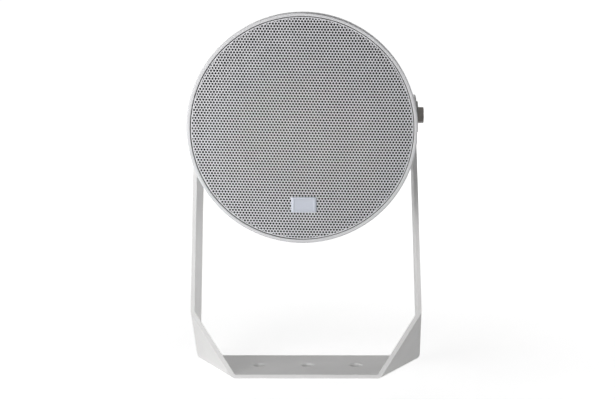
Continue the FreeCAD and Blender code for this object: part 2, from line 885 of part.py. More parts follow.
def make_rear_cover():
    body = axis_body("rear_cover", COVER_FACE - S.spigot_depth)
    face = S.spigot_depth
    back = face + S.cover_thickness
    spigot = S.rear_opening - S.fit_gap
    radius = S.housing_rear_radius
    turn(
        body,
        [(ZERO, face), (spigot - S.spigot_wall, face), (spigot - S.spigot_wall, ZERO),
         (spigot, ZERO), (spigot, face), (radius, face), (radius, back - S.cover_edge),
         (radius - S.cover_edge, back), (ZERO, back)],
    )
    posts = new_sketch(body, "XY_Plane", face - S.post_height)
    spots = [(-post_reach(), -S.transformer_rise), (post_reach(), -S.transformer_rise)]
    for x, y in spots:
        add_circle(posts, x, y, S.post_diameter / 2)
    pad(body, posts, S.post_height)
    tapped = new_sketch(body, "XY_Plane", face - S.post_height)
    for x, y in spots:
        add_circle(tapped, x, y, S.pan_screw / 2 + S.thread_gap)
    pocket(body, tapped, S.post_screw_length + S.thread_gap)
    gland = new_sketch(body, "XY_Plane")
    add_circle(gland, ZERO, S.gland_drop, S.gland_thread / 2 + S.thread_gap)
    pocket(body, gland)
    hole_circle(body, S.pan_screw / 2 + S.thread_gap, S.cover_screw_circle, back,
                S.cover_thickness * 2, COVER_SCREWS, forwards=False, diagonal=True)
    return body


# Loudspeaker driver

def make_basket():
    body = axis_body("driver_basket", FLANGE_FRONT)
    wall = S.basket_sheet
    turn(
        body,
        [(S.flange_radius, ZERO), (S.flange_radius, wall), (S.basket_mouth + wall, wall),
         (S.spider_seat_outer + wall, S.spider_seat_depth + wall),
         (S.spider_seat_inner + wall, S.spider_seat_depth + wall),
         (S.spider_seat_inner + wall, S.basket_depth + wall),
         (S.top_plate_bore, S.basket_depth + wall), (S.top_plate_bore, S.basket_depth),
         (S.spider_seat_inner, S.basket_depth), (S.spider_seat_inner, S.spider_seat_depth),
         (S.spider_seat_outer, S.spider_seat_depth), (S.basket_mouth, ZERO)],
    )
    window = new_sketch(body, "XY_Plane")
    add_outline(
        window,
        [(S.window_inner, -S.window_inner_width / 2), (S.window_outer, -S.window_outer_width / 2),
         (S.window_outer, S.window_outer_width / 2), (S.window_inner, S.window_inner_width / 2)],
    )
    spread(body, [pocket(body, window, S.basket_depth)], BASKET_WINDOWS)
    hole_circle(body, S.pan_screw / 2 + S.thread_gap, S.driver_screw_circle, ZERO, wall * 2,
                DRIVER_SCREWS, diagonal=True)
    return body


def make_ring(label, depth, inner, outer, thickness):
    """A plain turned ring."""
    body = axis_body(label, depth)
    turn(body, [(inner, ZERO), (outer, ZERO), (outer, thickness), (inner, thickness)])
    return body


def make_yoke():
    depth = MAGNET_FACE - S.pole_front_gap
    body = axis_body("magnet_yoke", depth)
    plate = S.pole_front_gap + S.top_plate_thickness + S.magnet_thickness
    turn(
        body,
        [(ZERO, ZERO), (S.pole_radius, ZERO), (S.pole_radius, plate), (S.top_plate_radius, plate),
         (S.top_plate_radius, plate + S.yoke_thickness), (ZERO, plate + S.yoke_thickness)],
    )
    return body


def make_surround():
    wall = S.surround_sheet
    roll = (S.roll_outer - S.roll_inner) / 2
    middle = S.roll_inner + roll
    body = axis_body("surround", FLANGE_FRONT - wall - roll)
    front = roll
    back = roll + wall
    inner_lip = S.roll_inner - S.cone_lip + S.glue_gap
    turn(
        body,
        [(S.roll_inner, front), (S.roll_outer, front), (S.surround_outer_lip, front),
         (S.surround_outer_lip, back), (S.roll_outer - wall, back), (S.roll_outer - wall, front),
         (S.roll_inner + wall, front), (S.roll_inner + wall, back), (inner_lip, back),
         (inner_lip, front)],
        arcs={0: (False, (middle, front)), 5: (True, (middle, front))},
    )
    return body


def make_cone():
    body = axis_body("cone", FLANGE_FRONT)
    neck = S.former_radius + S.glue_gap
    fold = S.roll_inner - S.cone_lip
    turn(
        body,
        [(S.roll_inner, ZERO), (S.roll_inner, S.cone_sheet), (fold, S.cone_sheet),
         (neck, S.cone_depth + S.cone_sheet), (neck, S.cone_depth), (fold, ZERO)],
    )
    return body


def make_dust_cap():
    fold = S.roll_inner - S.cone_lip
    neck = S.former_radius + S.glue_gap
    seat = S.cone_depth * (fold - S.dust_cap_radius) / (fold - neck) - S.dust_cap_sheet
    body = axis_body("dust_cap", FLANGE_FRONT + seat - S.dust_cap_rise)
    rise = S.dust_cap_rise
    centre = (S.dust_cap_radius * S.dust_cap_radius + rise * rise) / (2 * rise)
    wall = S.dust_cap_sheet
    turn(
        body,
        [(ZERO, ZERO), (S.dust_cap_radius, rise), (S.dust_cap_radius, rise + wall), (ZERO, wall)],
        arcs={0: (False, (ZERO, centre)), 2: (True, (ZERO, centre + wall))},
    )
    return body


def make_coil():
    """The coil's former and its winding, centred on the magnet's top plate."""
    former = make_ring(
        "coil_former", FLANGE_FRONT + S.cone_depth - S.former_neck,
        S.former_radius - S.former_wall, S.former_radius, S.former_length,
    )
    winding = make_ring(
        "coil_winding", MAGNET_FACE + S.top_plate_thickness / 2 - S.winding_length / 2,
        S.former_radius + S.glue_gap, S.winding_radius, S.winding_length,
    )
    return [former, winding]


def make_spider():
    """The corrugated centring disc between the coil former and its seat in the basket."""
    wall = S.spider_sheet
    level = FLANGE_FRONT + S.spider_seat_depth - wall
    body = axis_body("spider", level - S.spider_wave)
    inner = S.former_radius + S.fit_gap
    outer = S.spider_seat_outer - S.fit_gap
    seat = S.spider_seat_inner
    step = (seat - inner) / (2 * SPIDER_WAVES)
    front = [(inner, S.spider_wave)]
    for k in range(1, 2 * SPIDER_WAVES):
        rise = S.spider_wave * (2 if k % 2 else 0)
        front.append((inner + step * k, as_dim(rise)))
    front += [(seat, S.spider_wave), (outer, S.spider_wave)]
    back = [(radius, level_at + wall) for radius, level_at in reversed(front)]
    turn(body, front + back)
    return body


# Line transformer and terminal block, on the inside of the rear cover

def post_reach():
    """How far the transformer's screws stand from the middle."""
    return S.core_width / 2 + S.core_gap + S.strap_sheet + S.strap_foot / 2


def transformer_body(label, width):
    """A body at the transformer: its local XY plane is the core's outline, seen from above."""
    depth = COVER_FACE - S.post_height
    body = new_body(label, y=depth - S.front_reach, z=S.pivot_height + S.transformer_rise)
    sketch = new_sketch(body, "XY_Plane", -width / 2)
    return body, sketch


def make_transformer():
    gap = S.core_gap
    floor = S.strap_sheet + gap
    limb = S.core_limb
    half = S.core_width / 2
    core, outline = transformer_body("transformer_core", S.core_stack)
    middle = -(floor + S.core_height / 2)
    add_outline(outline, rectangle(half, S.core_height / 2, y=middle))
    window = (S.core_height - 2 * limb) / 2
    for side in (-1, 1):
        add_outline(outline, rectangle(limb / 2, window, x=side * 1.5 * limb, y=middle))
    pad(core, outline, S.core_stack)

    coil_height = S.core_stack + 2 * (limb - gap)
    winding = new_body("transformer_winding", y=COVER_FACE - S.post_height - S.front_reach,
                       z=S.pivot_height + S.transformer_rise)
    section = new_sketch(winding, "XZ_Plane", floor + limb + gap)
    add_outline(section, rectangle(2 * limb - gap, coil_height / 2))
    add_outline(section, rectangle(limb + gap, S.core_stack / 2 + gap))
    pad(winding, section, 2 * (window - gap))

    strap, frame = transformer_body("transformer_strap", S.core_stack)
    inside = half + gap
    outside = inside + S.strap_sheet
    foot = outside + S.strap_foot
    depth = floor + S.core_height + gap
    add_outline(
        frame,
        [(-foot, ZERO), (-inside, ZERO), (-inside, -depth), (inside, -depth), (inside, ZERO),
         (foot, ZERO), (foot, -S.strap_sheet), (outside, -S.strap_sheet),
         (outside, -depth - S.strap_sheet), (-outside, -depth - S.strap_sheet),
         (-outside, -S.strap_sheet), (-foot, -S.strap_sheet)],
    )
    pad(strap, frame, S.core_stack)
    holes = new_sketch(strap, "XZ_Plane")
    for side in (-1, 1):
        add_circle(holes, side * post_reach(), ZERO, S.pan_screw / 2 + S.thread_gap)
    pocket(strap, holes, S.strap_sheet * 2)
    return [core, winding, strap]


def make_post_screws():
    """The two screws that hold the transformer's feet on the posts of the cover."""
    body = axis_body(
        "transformer_screws",
        COVER_FACE - S.post_height - S.strap_sheet - S.pan_screw_head_height,
        S.transformer_rise,
    )
    corners = [(post_reach() + radius, along) for radius, along in pan_head_section(S.post_screw_length)]
    spread(body, [turn(body, corners, axis=post_reach())], 2)
    return body


def make_terminal_block():
    body = axis_body("terminal_block", COVER_FACE - S.block_thickness, -S.block_drop)
    sketch = new_sketch(body, "XY_Plane")
    add_outline(sketch, rectangle(S.block_length / 2, S.block_height / 2))
    pad(body, sketch, S.block_thickness)
    poles = new_sketch(body, "XY_Plane")
    for k in range(BLOCK_POLES):
        shift = k - (BLOCK_POLES - 1) / 2
        add_circle(poles, S.block_pole_pitch * shift if shift else ZERO, ZERO, S.block_pole / 2)
    pocket(body, poles, S.block_thickness / 2)
    return body


# Cable gland in the rear cover

def make_gland():
    lower = -S.gland_drop
    thread = S.gland_thread / 2
    bore = S.gland_bore / 2
    stub = S.gland_stub_diameter / 2
    body = axis_body("gland_body", COVER_BACK - S.gland_grip, lower)
    reach = S.gland_grip + S.gland_flange + S.gland_stub
    turn(
        body,
        [(bore, ZERO), (thread, ZERO), (thread, S.gland_grip + S.gland_flange),
         (stub, S.gland_grip + S.gland_flange), (stub, reach), (bore, reach)],
    )
    flange = new_sketch(body, "XY_Plane", S.gland_grip)
    add_outline(flange, hexagon(S.gland_across))
    add_circle(flange, ZERO, ZERO, bore)
    pad(body, flange, S.gland_flange)

    locknut = axis_body("gland_locknut", COVER_FACE - S.locknut_height, lower)
    outline = new_sketch(locknut, "XY_Plane")
    add_outline(outline, hexagon(S.gland_across))
    add_circle(outline, ZERO, ZERO, thread + S.thread_gap)
    pad(locknut, outline, S.locknut_height)

    start = COVER_BACK + S.gland_flange + S.seal_thickness
    cap = axis_body("gland_nut", start, lower)
    inside = stub + S.thread_gap
    shell = S.cap_across / 2
    cap_bore = S.cap_bore / 2
    turn(
        cap,
        [(inside, ZERO), (shell, ZERO), (shell, S.cap_hex_height),
         (cap_bore + S.cap_lip, S.cap_length), (cap_bore, S.cap_length),
         (cap_bore, S.cap_length - S.cap_lip), (inside, S.cap_length - S.cap_lip)],
    )
    grip = new_sketch(cap, "XY_Plane")
    add_outline(grip, hexagon(S.cap_across))
    add_circle(grip, ZERO, ZERO, inside)
    pad(cap, grip, S.cap_hex_height)

    stub_end = COVER_BACK + S.gland_flange + S.gland_stub
    seal_length = start + S.cap_length - S.cap_lip - stub_end - 2 * S.glue_gap
    seal = axis_body("gland_seal", stub_end + S.glue_gap, lower)
    inner = S.gland_seal_bore / 2
    outer = inside - S.fit_gap
    turn(seal, [(inner, ZERO), (outer, ZERO), (outer, seal_length), (inner, seal_length)])
    return [body, locknut, cap, seal]


def make_all():
    """Every sub-part, in the order it would be put together."""
    parts = [
        make_bracket(),
        make_disc_pair("pivot_washers", S.washer_diameter, S.pivot_hole, PAD_HALF, S.washer_thickness),
        make_pivot_bolts(),
        make_disc_pair("friction_discs", S.disc_diameter, S.pivot_hole, BOSS_FACE, S.disc_thickness),
        make_housing(),
        make_front_ring(),
        make_seal("ring_seal", LEDGE_BACK, LEDGE_RADIUS, RIM_FIT_RADIUS, S.seal_thickness,
                  S.ring_screw / 2 + S.thread_gap, S.ring_screw_circle, RING_SCREWS),
        make_ring_screws(),
        make_grille(),
        make_badge_plate(),
        make_seal("driver_gasket", FLANGE_BACK, S.cutout_radius, S.flange_radius, S.gasket_thickness,
                  S.pan_screw / 2 + S.thread_gap, S.driver_screw_circle, DRIVER_SCREWS, True),
        make_basket(),
        screw_set("driver_screws", FLANGE_FRONT - S.pan_screw_head_height,
                  pan_head_section(S.driver_screw_length), S.driver_screw_circle, DRIVER_SCREWS, True),
        make_ring("magnet_top_plate", MAGNET_FACE, S.top_plate_bore, S.top_plate_radius,
                  S.top_plate_thickness),
        make_ring("magnet", MAGNET_FACE + S.top_plate_thickness, S.magnet_bore, S.magnet_radius,
                  S.magnet_thickness),
        make_yoke(),
        make_surround(),
        make_cone(),
        make_dust_cap(),
        *make_coil(),
        make_spider(),
        make_seal("rear_seal", S.housing_reach, S.rear_opening, S.housing_rear_radius,
                  S.seal_thickness, S.pan_screw / 2 + S.thread_gap, S.cover_screw_circle,
                  COVER_SCREWS, True),
        make_rear_cover(),
        make_cover_screws(),
        *make_transformer(),
        make_post_screws(),
        make_terminal_block(),
        *make_gland(),
    ]
    return parts


def make_cover_screws():
    """The screws of the rear cover, their heads outside."""
    length = S.cover_screw_length
    section = [(radius, length + S.pan_screw_head_height - along)
               for radius, along in reversed(pan_head_section(length))]
    return screw_set("rear_cover_screws", COVER_BACK - length, section, S.cover_screw_circle,
                     COVER_SCREWS, True)


def check(parts):
    """Stop if any object failed, or a sub-part isn't a sound solid."""
    for item in doc.Objects:
        if "Invalid" in item.State or "Error" in item.State:
            raise RuntimeError(f"{item.Label} failed: {item.State}")
    for item in parts:
        shape = item.Shape
        if shape.isNull() or not shape.isValid() or not shape.Solids:
            raise RuntimeError(f"{item.Label} is not a valid solid")


made = make_all()
doc.recompute()
check(made)
os.makedirs("parts", exist_ok=True)
for item in made:
    item.Shape.exportStep(f"parts/{item.Label}.step")
    print(f"{item.Label}: {len(item.Shape.Solids)} solid(s), {item.Shape.Volume / 1000:.2f} cm3")
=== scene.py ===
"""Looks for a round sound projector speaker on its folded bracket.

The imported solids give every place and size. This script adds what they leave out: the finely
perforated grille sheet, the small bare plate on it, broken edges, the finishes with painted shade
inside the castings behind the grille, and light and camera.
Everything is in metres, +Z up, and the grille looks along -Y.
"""

import logging
import math
from abc import ABC, abstractmethod
from collections.abc import Callable
from dataclasses import dataclass, field
from enum import Enum

import bpy
from mathutils import Matrix, Vector


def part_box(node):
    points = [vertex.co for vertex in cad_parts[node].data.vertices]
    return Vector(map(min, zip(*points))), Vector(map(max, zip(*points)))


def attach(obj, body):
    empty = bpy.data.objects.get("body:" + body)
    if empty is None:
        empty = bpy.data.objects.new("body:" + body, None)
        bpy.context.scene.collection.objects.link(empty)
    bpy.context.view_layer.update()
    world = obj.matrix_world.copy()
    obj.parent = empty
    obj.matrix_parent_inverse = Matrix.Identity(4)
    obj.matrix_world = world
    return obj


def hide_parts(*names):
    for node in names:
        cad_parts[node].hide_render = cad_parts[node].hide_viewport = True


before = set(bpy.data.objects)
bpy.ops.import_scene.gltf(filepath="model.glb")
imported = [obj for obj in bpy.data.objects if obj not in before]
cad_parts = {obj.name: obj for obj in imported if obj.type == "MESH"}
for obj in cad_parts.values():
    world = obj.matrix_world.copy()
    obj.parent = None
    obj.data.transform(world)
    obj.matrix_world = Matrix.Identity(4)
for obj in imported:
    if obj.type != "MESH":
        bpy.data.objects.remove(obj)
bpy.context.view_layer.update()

log = logging.getLogger("sound_projector")

Pair = tuple[float, float]
Triple = tuple[float, float, float]

MM = 0.001
ROOT_3 = math.sqrt(3.0)
# Where the tilt's axis meets the speaker's own axis.
PIVOT: Triple = (0.0, 0.0, 0.232)


class Body(str, Enum):
    """The moving bodies that pieces ride on."""

    BRACKET = "bracket"
    SPEAKER = "speaker"
    CONE = "cone"


class Axis(str, Enum):
    """The axes that rings turn about and sheets or turns of wire are stacked along."""

    Y = "Y"
    Z = "Z"


class Element(str, Enum):
    """What is picked on a mesh."""

    EDGE = "EDGE"
    FACE = "FACE"


# Finishes


class NodeDesk:
    """A node tree, with short calls to add nodes and join them."""

    # A wave node's phase for each unit of its coordinate.
    WAVE_PHASE = 20.0

    def __init__(self, owner: bpy.types.Material | bpy.types.World) -> None:
        """Start with an empty tree.

        Args:
            owner: The material or world that the tree belongs to.
        """
        owner.use_nodes = True
        self.tree = owner.node_tree
        self.tree.nodes.clear()

    def add(self, kind: str, **settings: object) -> bpy.types.Node:
        """Add a node and set its own properties.

        Args:
            kind: The node's Blender type.
            settings: Properties of the node, by name.

        Returns:
            The new node.
        """
        node = self.tree.nodes.new(kind)
        for key, value in settings.items():
            setattr(node, key, value)
        return node

    def join(self, start: bpy.types.NodeSocket, end: bpy.types.NodeSocket) -> None:
        """Link one socket to another."""
        self.tree.links.new(start, end)

    def place(
        self, stretch: Triple = (1.0, 1.0, 1.0), centre: Triple = (0.0, 0.0, 0.0)
    ) -> bpy.types.NodeSocket:
        """Object coordinates, stretched and moved.

        Args:
            stretch: Scale along each axis.
            centre: The point that becomes the pattern's origin, in metres.

        Returns:
            The vector socket to feed a texture.
        """
        source = self.add("ShaderNodeTexCoord")
        mapping = self.add("ShaderNodeMapping")
        mapping.inputs["Scale"].default_value = stretch
        mapping.inputs["Location"].default_value = tuple(-c * s for c, s in zip(centre, stretch))
        self.join(source.outputs["Object"], mapping.inputs["Vector"])
        return mapping.outputs["Vector"]

    def noise(
        self, where: bpy.types.NodeSocket, scale: float, detail: float = 3.0
    ) -> bpy.types.NodeSocket:
        """A noise pattern.

        Args:
            where: The coordinates it reads.
            scale: Patches per metre.
            detail: How many finer layers it has.

        Returns:
            Its value socket, from 0 to 1.
        """
        node = self.add("ShaderNodeTexNoise")
        node.inputs["Scale"].default_value = scale
        node.inputs["Detail"].default_value = detail
        self.join(where, node.inputs["Vector"])
        return node.outputs["Fac"]

    def wave(
        self, where: bpy.types.NodeSocket, pitch: float, **settings: object
    ) -> bpy.types.NodeSocket:
        """A pattern of even lines or rings.

        Args:
            where: The coordinates it reads.
            pitch: Distance from line to line, in metres.
            settings: Properties of the wave node, by name.

        Returns:
            Its value socket, from 0 to 1.
        """
        node = self.add("ShaderNodeTexWave", **settings)
        node.inputs["Scale"].default_value = 2.0 * math.pi / (self.WAVE_PHASE * pitch)
        node.inputs["Distortion"].default_value = 0.0
        self.join(where, node.inputs["Vector"])
        return node.outputs["Fac"]

    def spread(
        self, value: bpy.types.NodeSocket, low: float, high: float, start: float = 0.3, end: float = 0.7
    ) -> bpy.types.NodeSocket:
        """Turn a range of a value into a range of its own.

        Args:
            value: The value, such as a pattern's.
            low: What start becomes.
            high: What end becomes.
            start: Lower end of the value's range.
            end: Upper end of the value's range.

        Returns:
            The new value socket.
        """
        node = self.add("ShaderNodeMapRange")
        for key, number in (("From Min", start), ("From Max", end), ("To Min", low), ("To Max", high)):
            node.inputs[key].default_value = number
        self.join(value, node.inputs["Value"])
        return node.outputs["Result"]

    def larger(self, first: bpy.types.NodeSocket, second: bpy.types.NodeSocket) -> bpy.types.NodeSocket:
        """The larger of two values.

        Args:
            first: One value.
            second: The other value.

        Returns:
            The value socket.
        """
        node = self.add("ShaderNodeMath", operation="MAXIMUM")
        self.join(first, node.inputs[0])
        self.join(second, node.inputs[1])
        return node.outputs["Value"]

    def show(
        self, seen: bpy.types.NodeSocket, unseen: bpy.types.NodeSocket, output: bpy.types.Node
    ) -> None:
        """Show one shader to the camera, in reflections and through glass, and light by another.

        Args:
            seen: The shader that is looked at.
            unseen: The shader that lights the speaker.
            output: The tree's output node.
        """
        path = self.add("ShaderNodeLightPath")
        looked_at = self.larger(path.outputs["Is Camera Ray"], path.outputs["Is Glossy Ray"])
        choice = self.add("ShaderNodeMixShader")
        self.join(self.larger(looked_at, path.outputs["Is Transmission Ray"]), choice.inputs["Fac"])
        self.join(unseen, choice.inputs[1])
        self.join(seen, choice.inputs[2])
        self.join(choice.outputs["Shader"], output.inputs["Surface"])


class NodeBoard(NodeDesk):
    """The node tree of a finish, round one principled shader."""

    # Sockets of a mix node that mixes colours.
    SHARE, FIRST, SECOND = 0, 6, 7
    MIXED = 2

    def __init__(self, name: str) -> None:
        """Start a material with a principled shader.

        Args:
            name: The material's name.
        """
        self.material = bpy.data.materials.new(name)
        super().__init__(self.material)
        output = self.add("ShaderNodeOutputMaterial")
        self.shader = self.add("ShaderNodeBsdfPrincipled")
        self.join(self.shader.outputs["BSDF"], output.inputs["Surface"])

    def colour(self, share: bpy.types.NodeSocket, first: Triple, second: Triple) -> None:
        """Colour the surface with two colours, mixed by a pattern.

        Args:
            share: How much of the second colour shows.
            first: Colour at 0.
            second: Colour at 1.
        """
        node = self.add("ShaderNodeMix", data_type="RGBA")
        node.inputs[self.FIRST].default_value = (*first, 1.0)
        node.inputs[self.SECOND].default_value = (*second, 1.0)
        self.join(share, node.inputs[self.SHARE])
        self.join(node.outputs[self.MIXED], self.shader.inputs["Base Color"])

    def relief(self, height: bpy.types.NodeSocket, depth: float, strength: float = 1.0) -> None:
        """Raise the surface by a pattern.

        Args:
            height: The pattern.
            depth: Height of the pattern in metres.
            strength: How strongly it shows.
        """
        node = self.add("ShaderNodeBump")
        node.inputs["Distance"].default_value = depth
        node.inputs["Strength"].default_value = strength
        self.join(height, node.inputs["Height"])
        self.join(node.outputs["Normal"], self.shader.inputs["Normal"])


@dataclass(frozen=True)
class Finish:
    """A surface finish: two near colours, a grain and a sheen.

    Attributes:
        name: What the maker calls it.
        colour: Its main colour, linear.
        shade: The colour of its darker patches.
        patch: Patches of shade per metre.
        grain: Grains per metre in its relief.
        depth: Height of the grain.
        rough: Lowest and highest roughness.
        metal: How metallic it is, from 0 to 1.
        stretch: Scale of the pattern along each axis, to draw out a grain.
    """

    name: str
    colour: Triple
    shade: Triple
    patch: float = 60.0
    grain: float = 900.0
    depth: float = 0.03 * MM
    rough: Pair = (0.4, 0.55)
    metal: float = 0.0
    stretch: Triple = (1.0, 1.0, 1.0)

    def material(self) -> bpy.types.Material:
        """The finish's material, made once."""
        return bpy.data.materials.get(self.name) or self.lay_out().material

    def lay_out(self) -> NodeBoard:
        """Lay out the finish's nodes.

        Returns:
            The finish's node tree.
        """
        board = NodeBoard(self.name)
        where = board.place(self.stretch)
        self.tint(board, where)
        grain = board.noise(where, self.grain, detail=2.0)
        board.join(board.spread(grain, *self.rough), board.shader.inputs["Roughness"])
        self.emboss(board, grain)
        board.shader.inputs["Metallic"].default_value = self.metal
        return board

    def tint(self, board: NodeBoard, where: bpy.types.NodeSocket) -> None:
        """Colour the surface in soft patches.

        Args:
            board: The finish's node tree.
            where: The coordinates its patterns read.
        """
        cloud = board.noise(where, self.patch)
        board.colour(board.spread(cloud, 0.0, 1.0), self.colour, self.shade)

    def emboss(self, board: NodeBoard, grain: bpy.types.NodeSocket) -> None:
        """Raise the surface by its grain."""
        board.relief(grain, self.depth)


@dataclass(frozen=True)
class PowderCoat(Finish):
    """Baked powder paint: orange-peel relief over fine specks.

    Attributes:
        peel: Dimples of the orange peel per metre.
        peel_depth: Depth of the dimples.
    """

    peel: float = 420.0
    peel_depth: float = 0.06 * MM

    def emboss(self, board: NodeBoard, grain: bpy.types.NodeSocket) -> None:
        """Raise the surface by its specks, on top of the orange peel.

        Args:
            board: The finish's node tree.
            grain: The pattern of the specks.
        """
        peel = board.noise(board.place(), self.peel, detail=1.0)
        both = board.add("ShaderNodeMath", operation="MULTIPLY_ADD")
        board.join(grain, both.inputs[0])
        both.inputs[1].default_value = self.depth / self.peel_depth
        board.join(peel, both.inputs[2])
        board.relief(both.outputs["Value"], self.peel_depth)


@dataclass(frozen=True)
class PressedPaper(Finish):
    """Felted paper pulp, pressed with faint rings about the speaker's axis.

    Attributes:
        ring_pitch: Distance from ring to ring.
        ring_depth: Depth of the rings.
        ring_strength: How strongly they show.
        axis: A point on the axis.
    """

    ring_pitch: float = 3.6 * MM
    ring_depth: float = 0.2 * MM
    ring_strength: float = 0.5
    axis: Triple = PIVOT

    def emboss(self, board: NodeBoard, grain: bpy.types.NodeSocket) -> None:
        """Press the rings into the surface.

        Args:
            board: The finish's node tree.
            grain: The pattern of the grain; not used, as the rings press it flat.
        """
        where = board.place(centre=self.axis)
        rings = board.wave(where, self.ring_pitch, wave_type="RINGS", rings_direction=Axis.Y.value)
        board.relief(rings, self.ring_depth, self.ring_strength)


@dataclass(frozen=True)
class StackedSheet(Finish):
    """Edges of thin sheets or turns of wire, stacked along one axis.

    Attributes:
        sheet: Thickness of a sheet.
        groove: Depth of the line between two sheets.
        axis: The axis they are stacked along.
    """

    sheet: float = 0.5 * MM
    groove: float = 0.08 * MM
    axis: Axis = Axis.Z

    def lines(self, board: NodeBoard) -> bpy.types.NodeSocket:
        """The pattern of the sheets' edges."""
        return board.wave(board.place(), self.sheet, wave_type="BANDS", bands_direction=self.axis.value)

    def tint(self, board: NodeBoard, where: bpy.types.NodeSocket) -> None:
        """Colour the sheets and the lines between them."""
        board.colour(self.lines(board), self.colour, self.shade)

    def emboss(self, board: NodeBoard, grain: bpy.types.NodeSocket) -> None:
        """Groove the surface between the sheets."""
        board.relief(self.lines(board), self.groove)


BRACKET_PAINT = PowderCoat(
    "bracket_powder_coat", (0.84, 0.835, 0.83), (0.805, 0.80, 0.795), patch=45.0, grain=1500.0)
SHELL_PAINT = PowderCoat(
    "shell_powder_coat", (0.79, 0.79, 0.795), (0.755, 0.755, 0.76), patch=40.0, grain=1400.0)
RING_PAINT = PowderCoat(
    "ring_powder_coat", (0.74, 0.74, 0.755), (0.71, 0.71, 0.725), patch=50.0, grain=1500.0)
GRILLE_PAINT = PowderCoat(
    "grille_powder_coat", (0.786, 0.786, 0.812), (0.756, 0.756, 0.782), patch=50.0, grain=1500.0,
    peel_depth=0.03 * MM)
PLATE_METAL = Finish(
    "plate_anodised", (0.50, 0.525, 0.59), (0.465, 0.49, 0.55), patch=300.0, grain=2600.0,
    depth=0.008 * MM, rough=(0.42, 0.55), metal=0.3, stretch=(1.0, 1.0, 12.0))
BOLT_STEEL = Finish(
    "bolt_plated_steel", (0.17, 0.158, 0.15), (0.12, 0.112, 0.106), patch=220.0, grain=1800.0,
    depth=0.02 * MM, rough=(0.38, 0.55), metal=0.8)
WASHER_STEEL = Finish(
    "washer_plated_steel", (0.12, 0.125, 0.115), (0.085, 0.09, 0.08), patch=160.0, grain=1600.0,
    depth=0.02 * MM, rough=(0.35, 0.5), metal=0.8)
SCREW_STEEL = Finish(
    "screw_plated_steel", (0.62, 0.62, 0.60), (0.50, 0.50, 0.47), patch=260.0, grain=1800.0,
    depth=0.01 * MM, rough=(0.28, 0.42), metal=1.0)
SCREW_BLACK = Finish(
    "screw_black_steel", (0.05, 0.05, 0.05), (0.035, 0.035, 0.035), patch=260.0, grain=1800.0,
    depth=0.01 * MM, rough=(0.4, 0.55), metal=0.5)
FRICTION_FIBRE = Finish(
    "friction_fibre", (0.045, 0.045, 0.043), (0.03, 0.03, 0.03), patch=400.0, grain=1500.0,
    depth=0.08 * MM, rough=(0.75, 0.9))
SEAL_RUBBER = Finish(
    "seal_rubber", (0.025, 0.025, 0.026), (0.018, 0.018, 0.018), patch=120.0, grain=1200.0,
    rough=(0.55, 0.75))
BASKET_ENAMEL = Finish(
    "basket_black_enamel", (0.02, 0.02, 0.021), (0.014, 0.014, 0.014), patch=80.0, grain=700.0,
    depth=0.02 * MM, rough=(0.3, 0.45))
MAGNET_STEEL = Finish(
    "magnet_plated_steel", (0.55, 0.55, 0.54), (0.45, 0.45, 0.43), patch=90.0, grain=1400.0,
    depth=0.01 * MM, rough=(0.25, 0.4), metal=1.0)
# Painted shade: near-black that stands in for the shade inside the castings behind the grille.
INSIDE_PAINTED_SHADE = Finish(
    "inside_painted_shade", (0.012, 0.012, 0.012), (0.008, 0.008, 0.008), rough=(0.6, 0.8))
FERRITE = Finish(
    "magnet_ferrite", (0.045, 0.045, 0.05), (0.03, 0.03, 0.033), patch=150.0, grain=1100.0,
    depth=0.06 * MM, rough=(0.6, 0.8))
SURROUND_CLOTH = Finish(
    "surround_doped_cloth", (0.02, 0.02, 0.02), (0.03, 0.03, 0.03), patch=900.0, grain=1700.0,
    depth=0.1 * MM, rough=(0.45, 0.65))
CONE_PAPER = PressedPaper(
    "cone_pressed_paper", (0.05, 0.05, 0.052), (0.036, 0.036, 0.038), patch=260.0, grain=1300.0,
    rough=(0.6, 0.8))
CAP_PAPER = Finish(
    "cap_pressed_paper", (0.05, 0.05, 0.053), (0.035, 0.035, 0.037), patch=260.0, grain=1300.0,
    depth=0.1 * MM, rough=(0.5, 0.7))
FORMER_FOIL = Finish(
    "former_foil", (0.75, 0.75, 0.75), (0.66, 0.66, 0.66), patch=200.0, grain=1500.0,
    depth=0.01 * MM, rough=(0.2, 0.35), metal=1.0)
COPPER_WIRE = StackedSheet(
    "copper_wire", (0.60, 0.24, 0.10), (0.40, 0.14, 0.05), grain=1500.0,
    rough=(0.25, 0.4), metal=1.0, sheet=0.3 * MM, axis=Axis.Y)
SPIDER_CLOTH = Finish(
    "spider_resin_cloth", (0.40, 0.24, 0.08), (0.32, 0.18, 0.06), patch=1400.0, grain=1900.0,
    depth=0.1 * MM, rough=(0.6, 0.8))
CORE_STEEL = StackedSheet(
    "core_laminations", (0.20, 0.20, 0.21), (0.10, 0.10, 0.105), grain=1500.0,
    rough=(0.4, 0.6), metal=0.6)
WINDING_TAPE = Finish(
    "winding_tape", (0.62, 0.44, 0.10), (0.54, 0.37, 0.08), patch=90.0, grain=700.0,
    depth=0.04 * MM, rough=(0.35, 0.5))
BLOCK_PLASTIC = Finish(
    "block_plastic", (0.74, 0.72, 0.64), (0.69, 0.67, 0.59), patch=90.0, depth=0.02 * MM)
GLAND_PLASTIC = Finish(
    "gland_plastic", (0.42, 0.43, 0.44), (0.38, 0.39, 0.40), patch=110.0, grain=1100.0,
    rough=(0.45, 0.6))


# Hand-modelling helpers

# Points of a solid's triangles closer than this are one.
WELD = 0.004 * MM
# Triangles that meet at no more than this many degrees are one flat face.
FLAT = 0.3
# A face that lies this close to a plane lies on it.
TOUCH = 0.001 * MM
# Weighs every face by its area alone.
NEUTRAL_WEIGHT = 50


def deselect_all() -> None:
    """Leave edit mode and deselect every object."""
    if bpy.context.object and bpy.context.object.mode != "OBJECT":
        bpy.ops.object.mode_set(mode="OBJECT")
    bpy.ops.object.select_all(action="DESELECT")


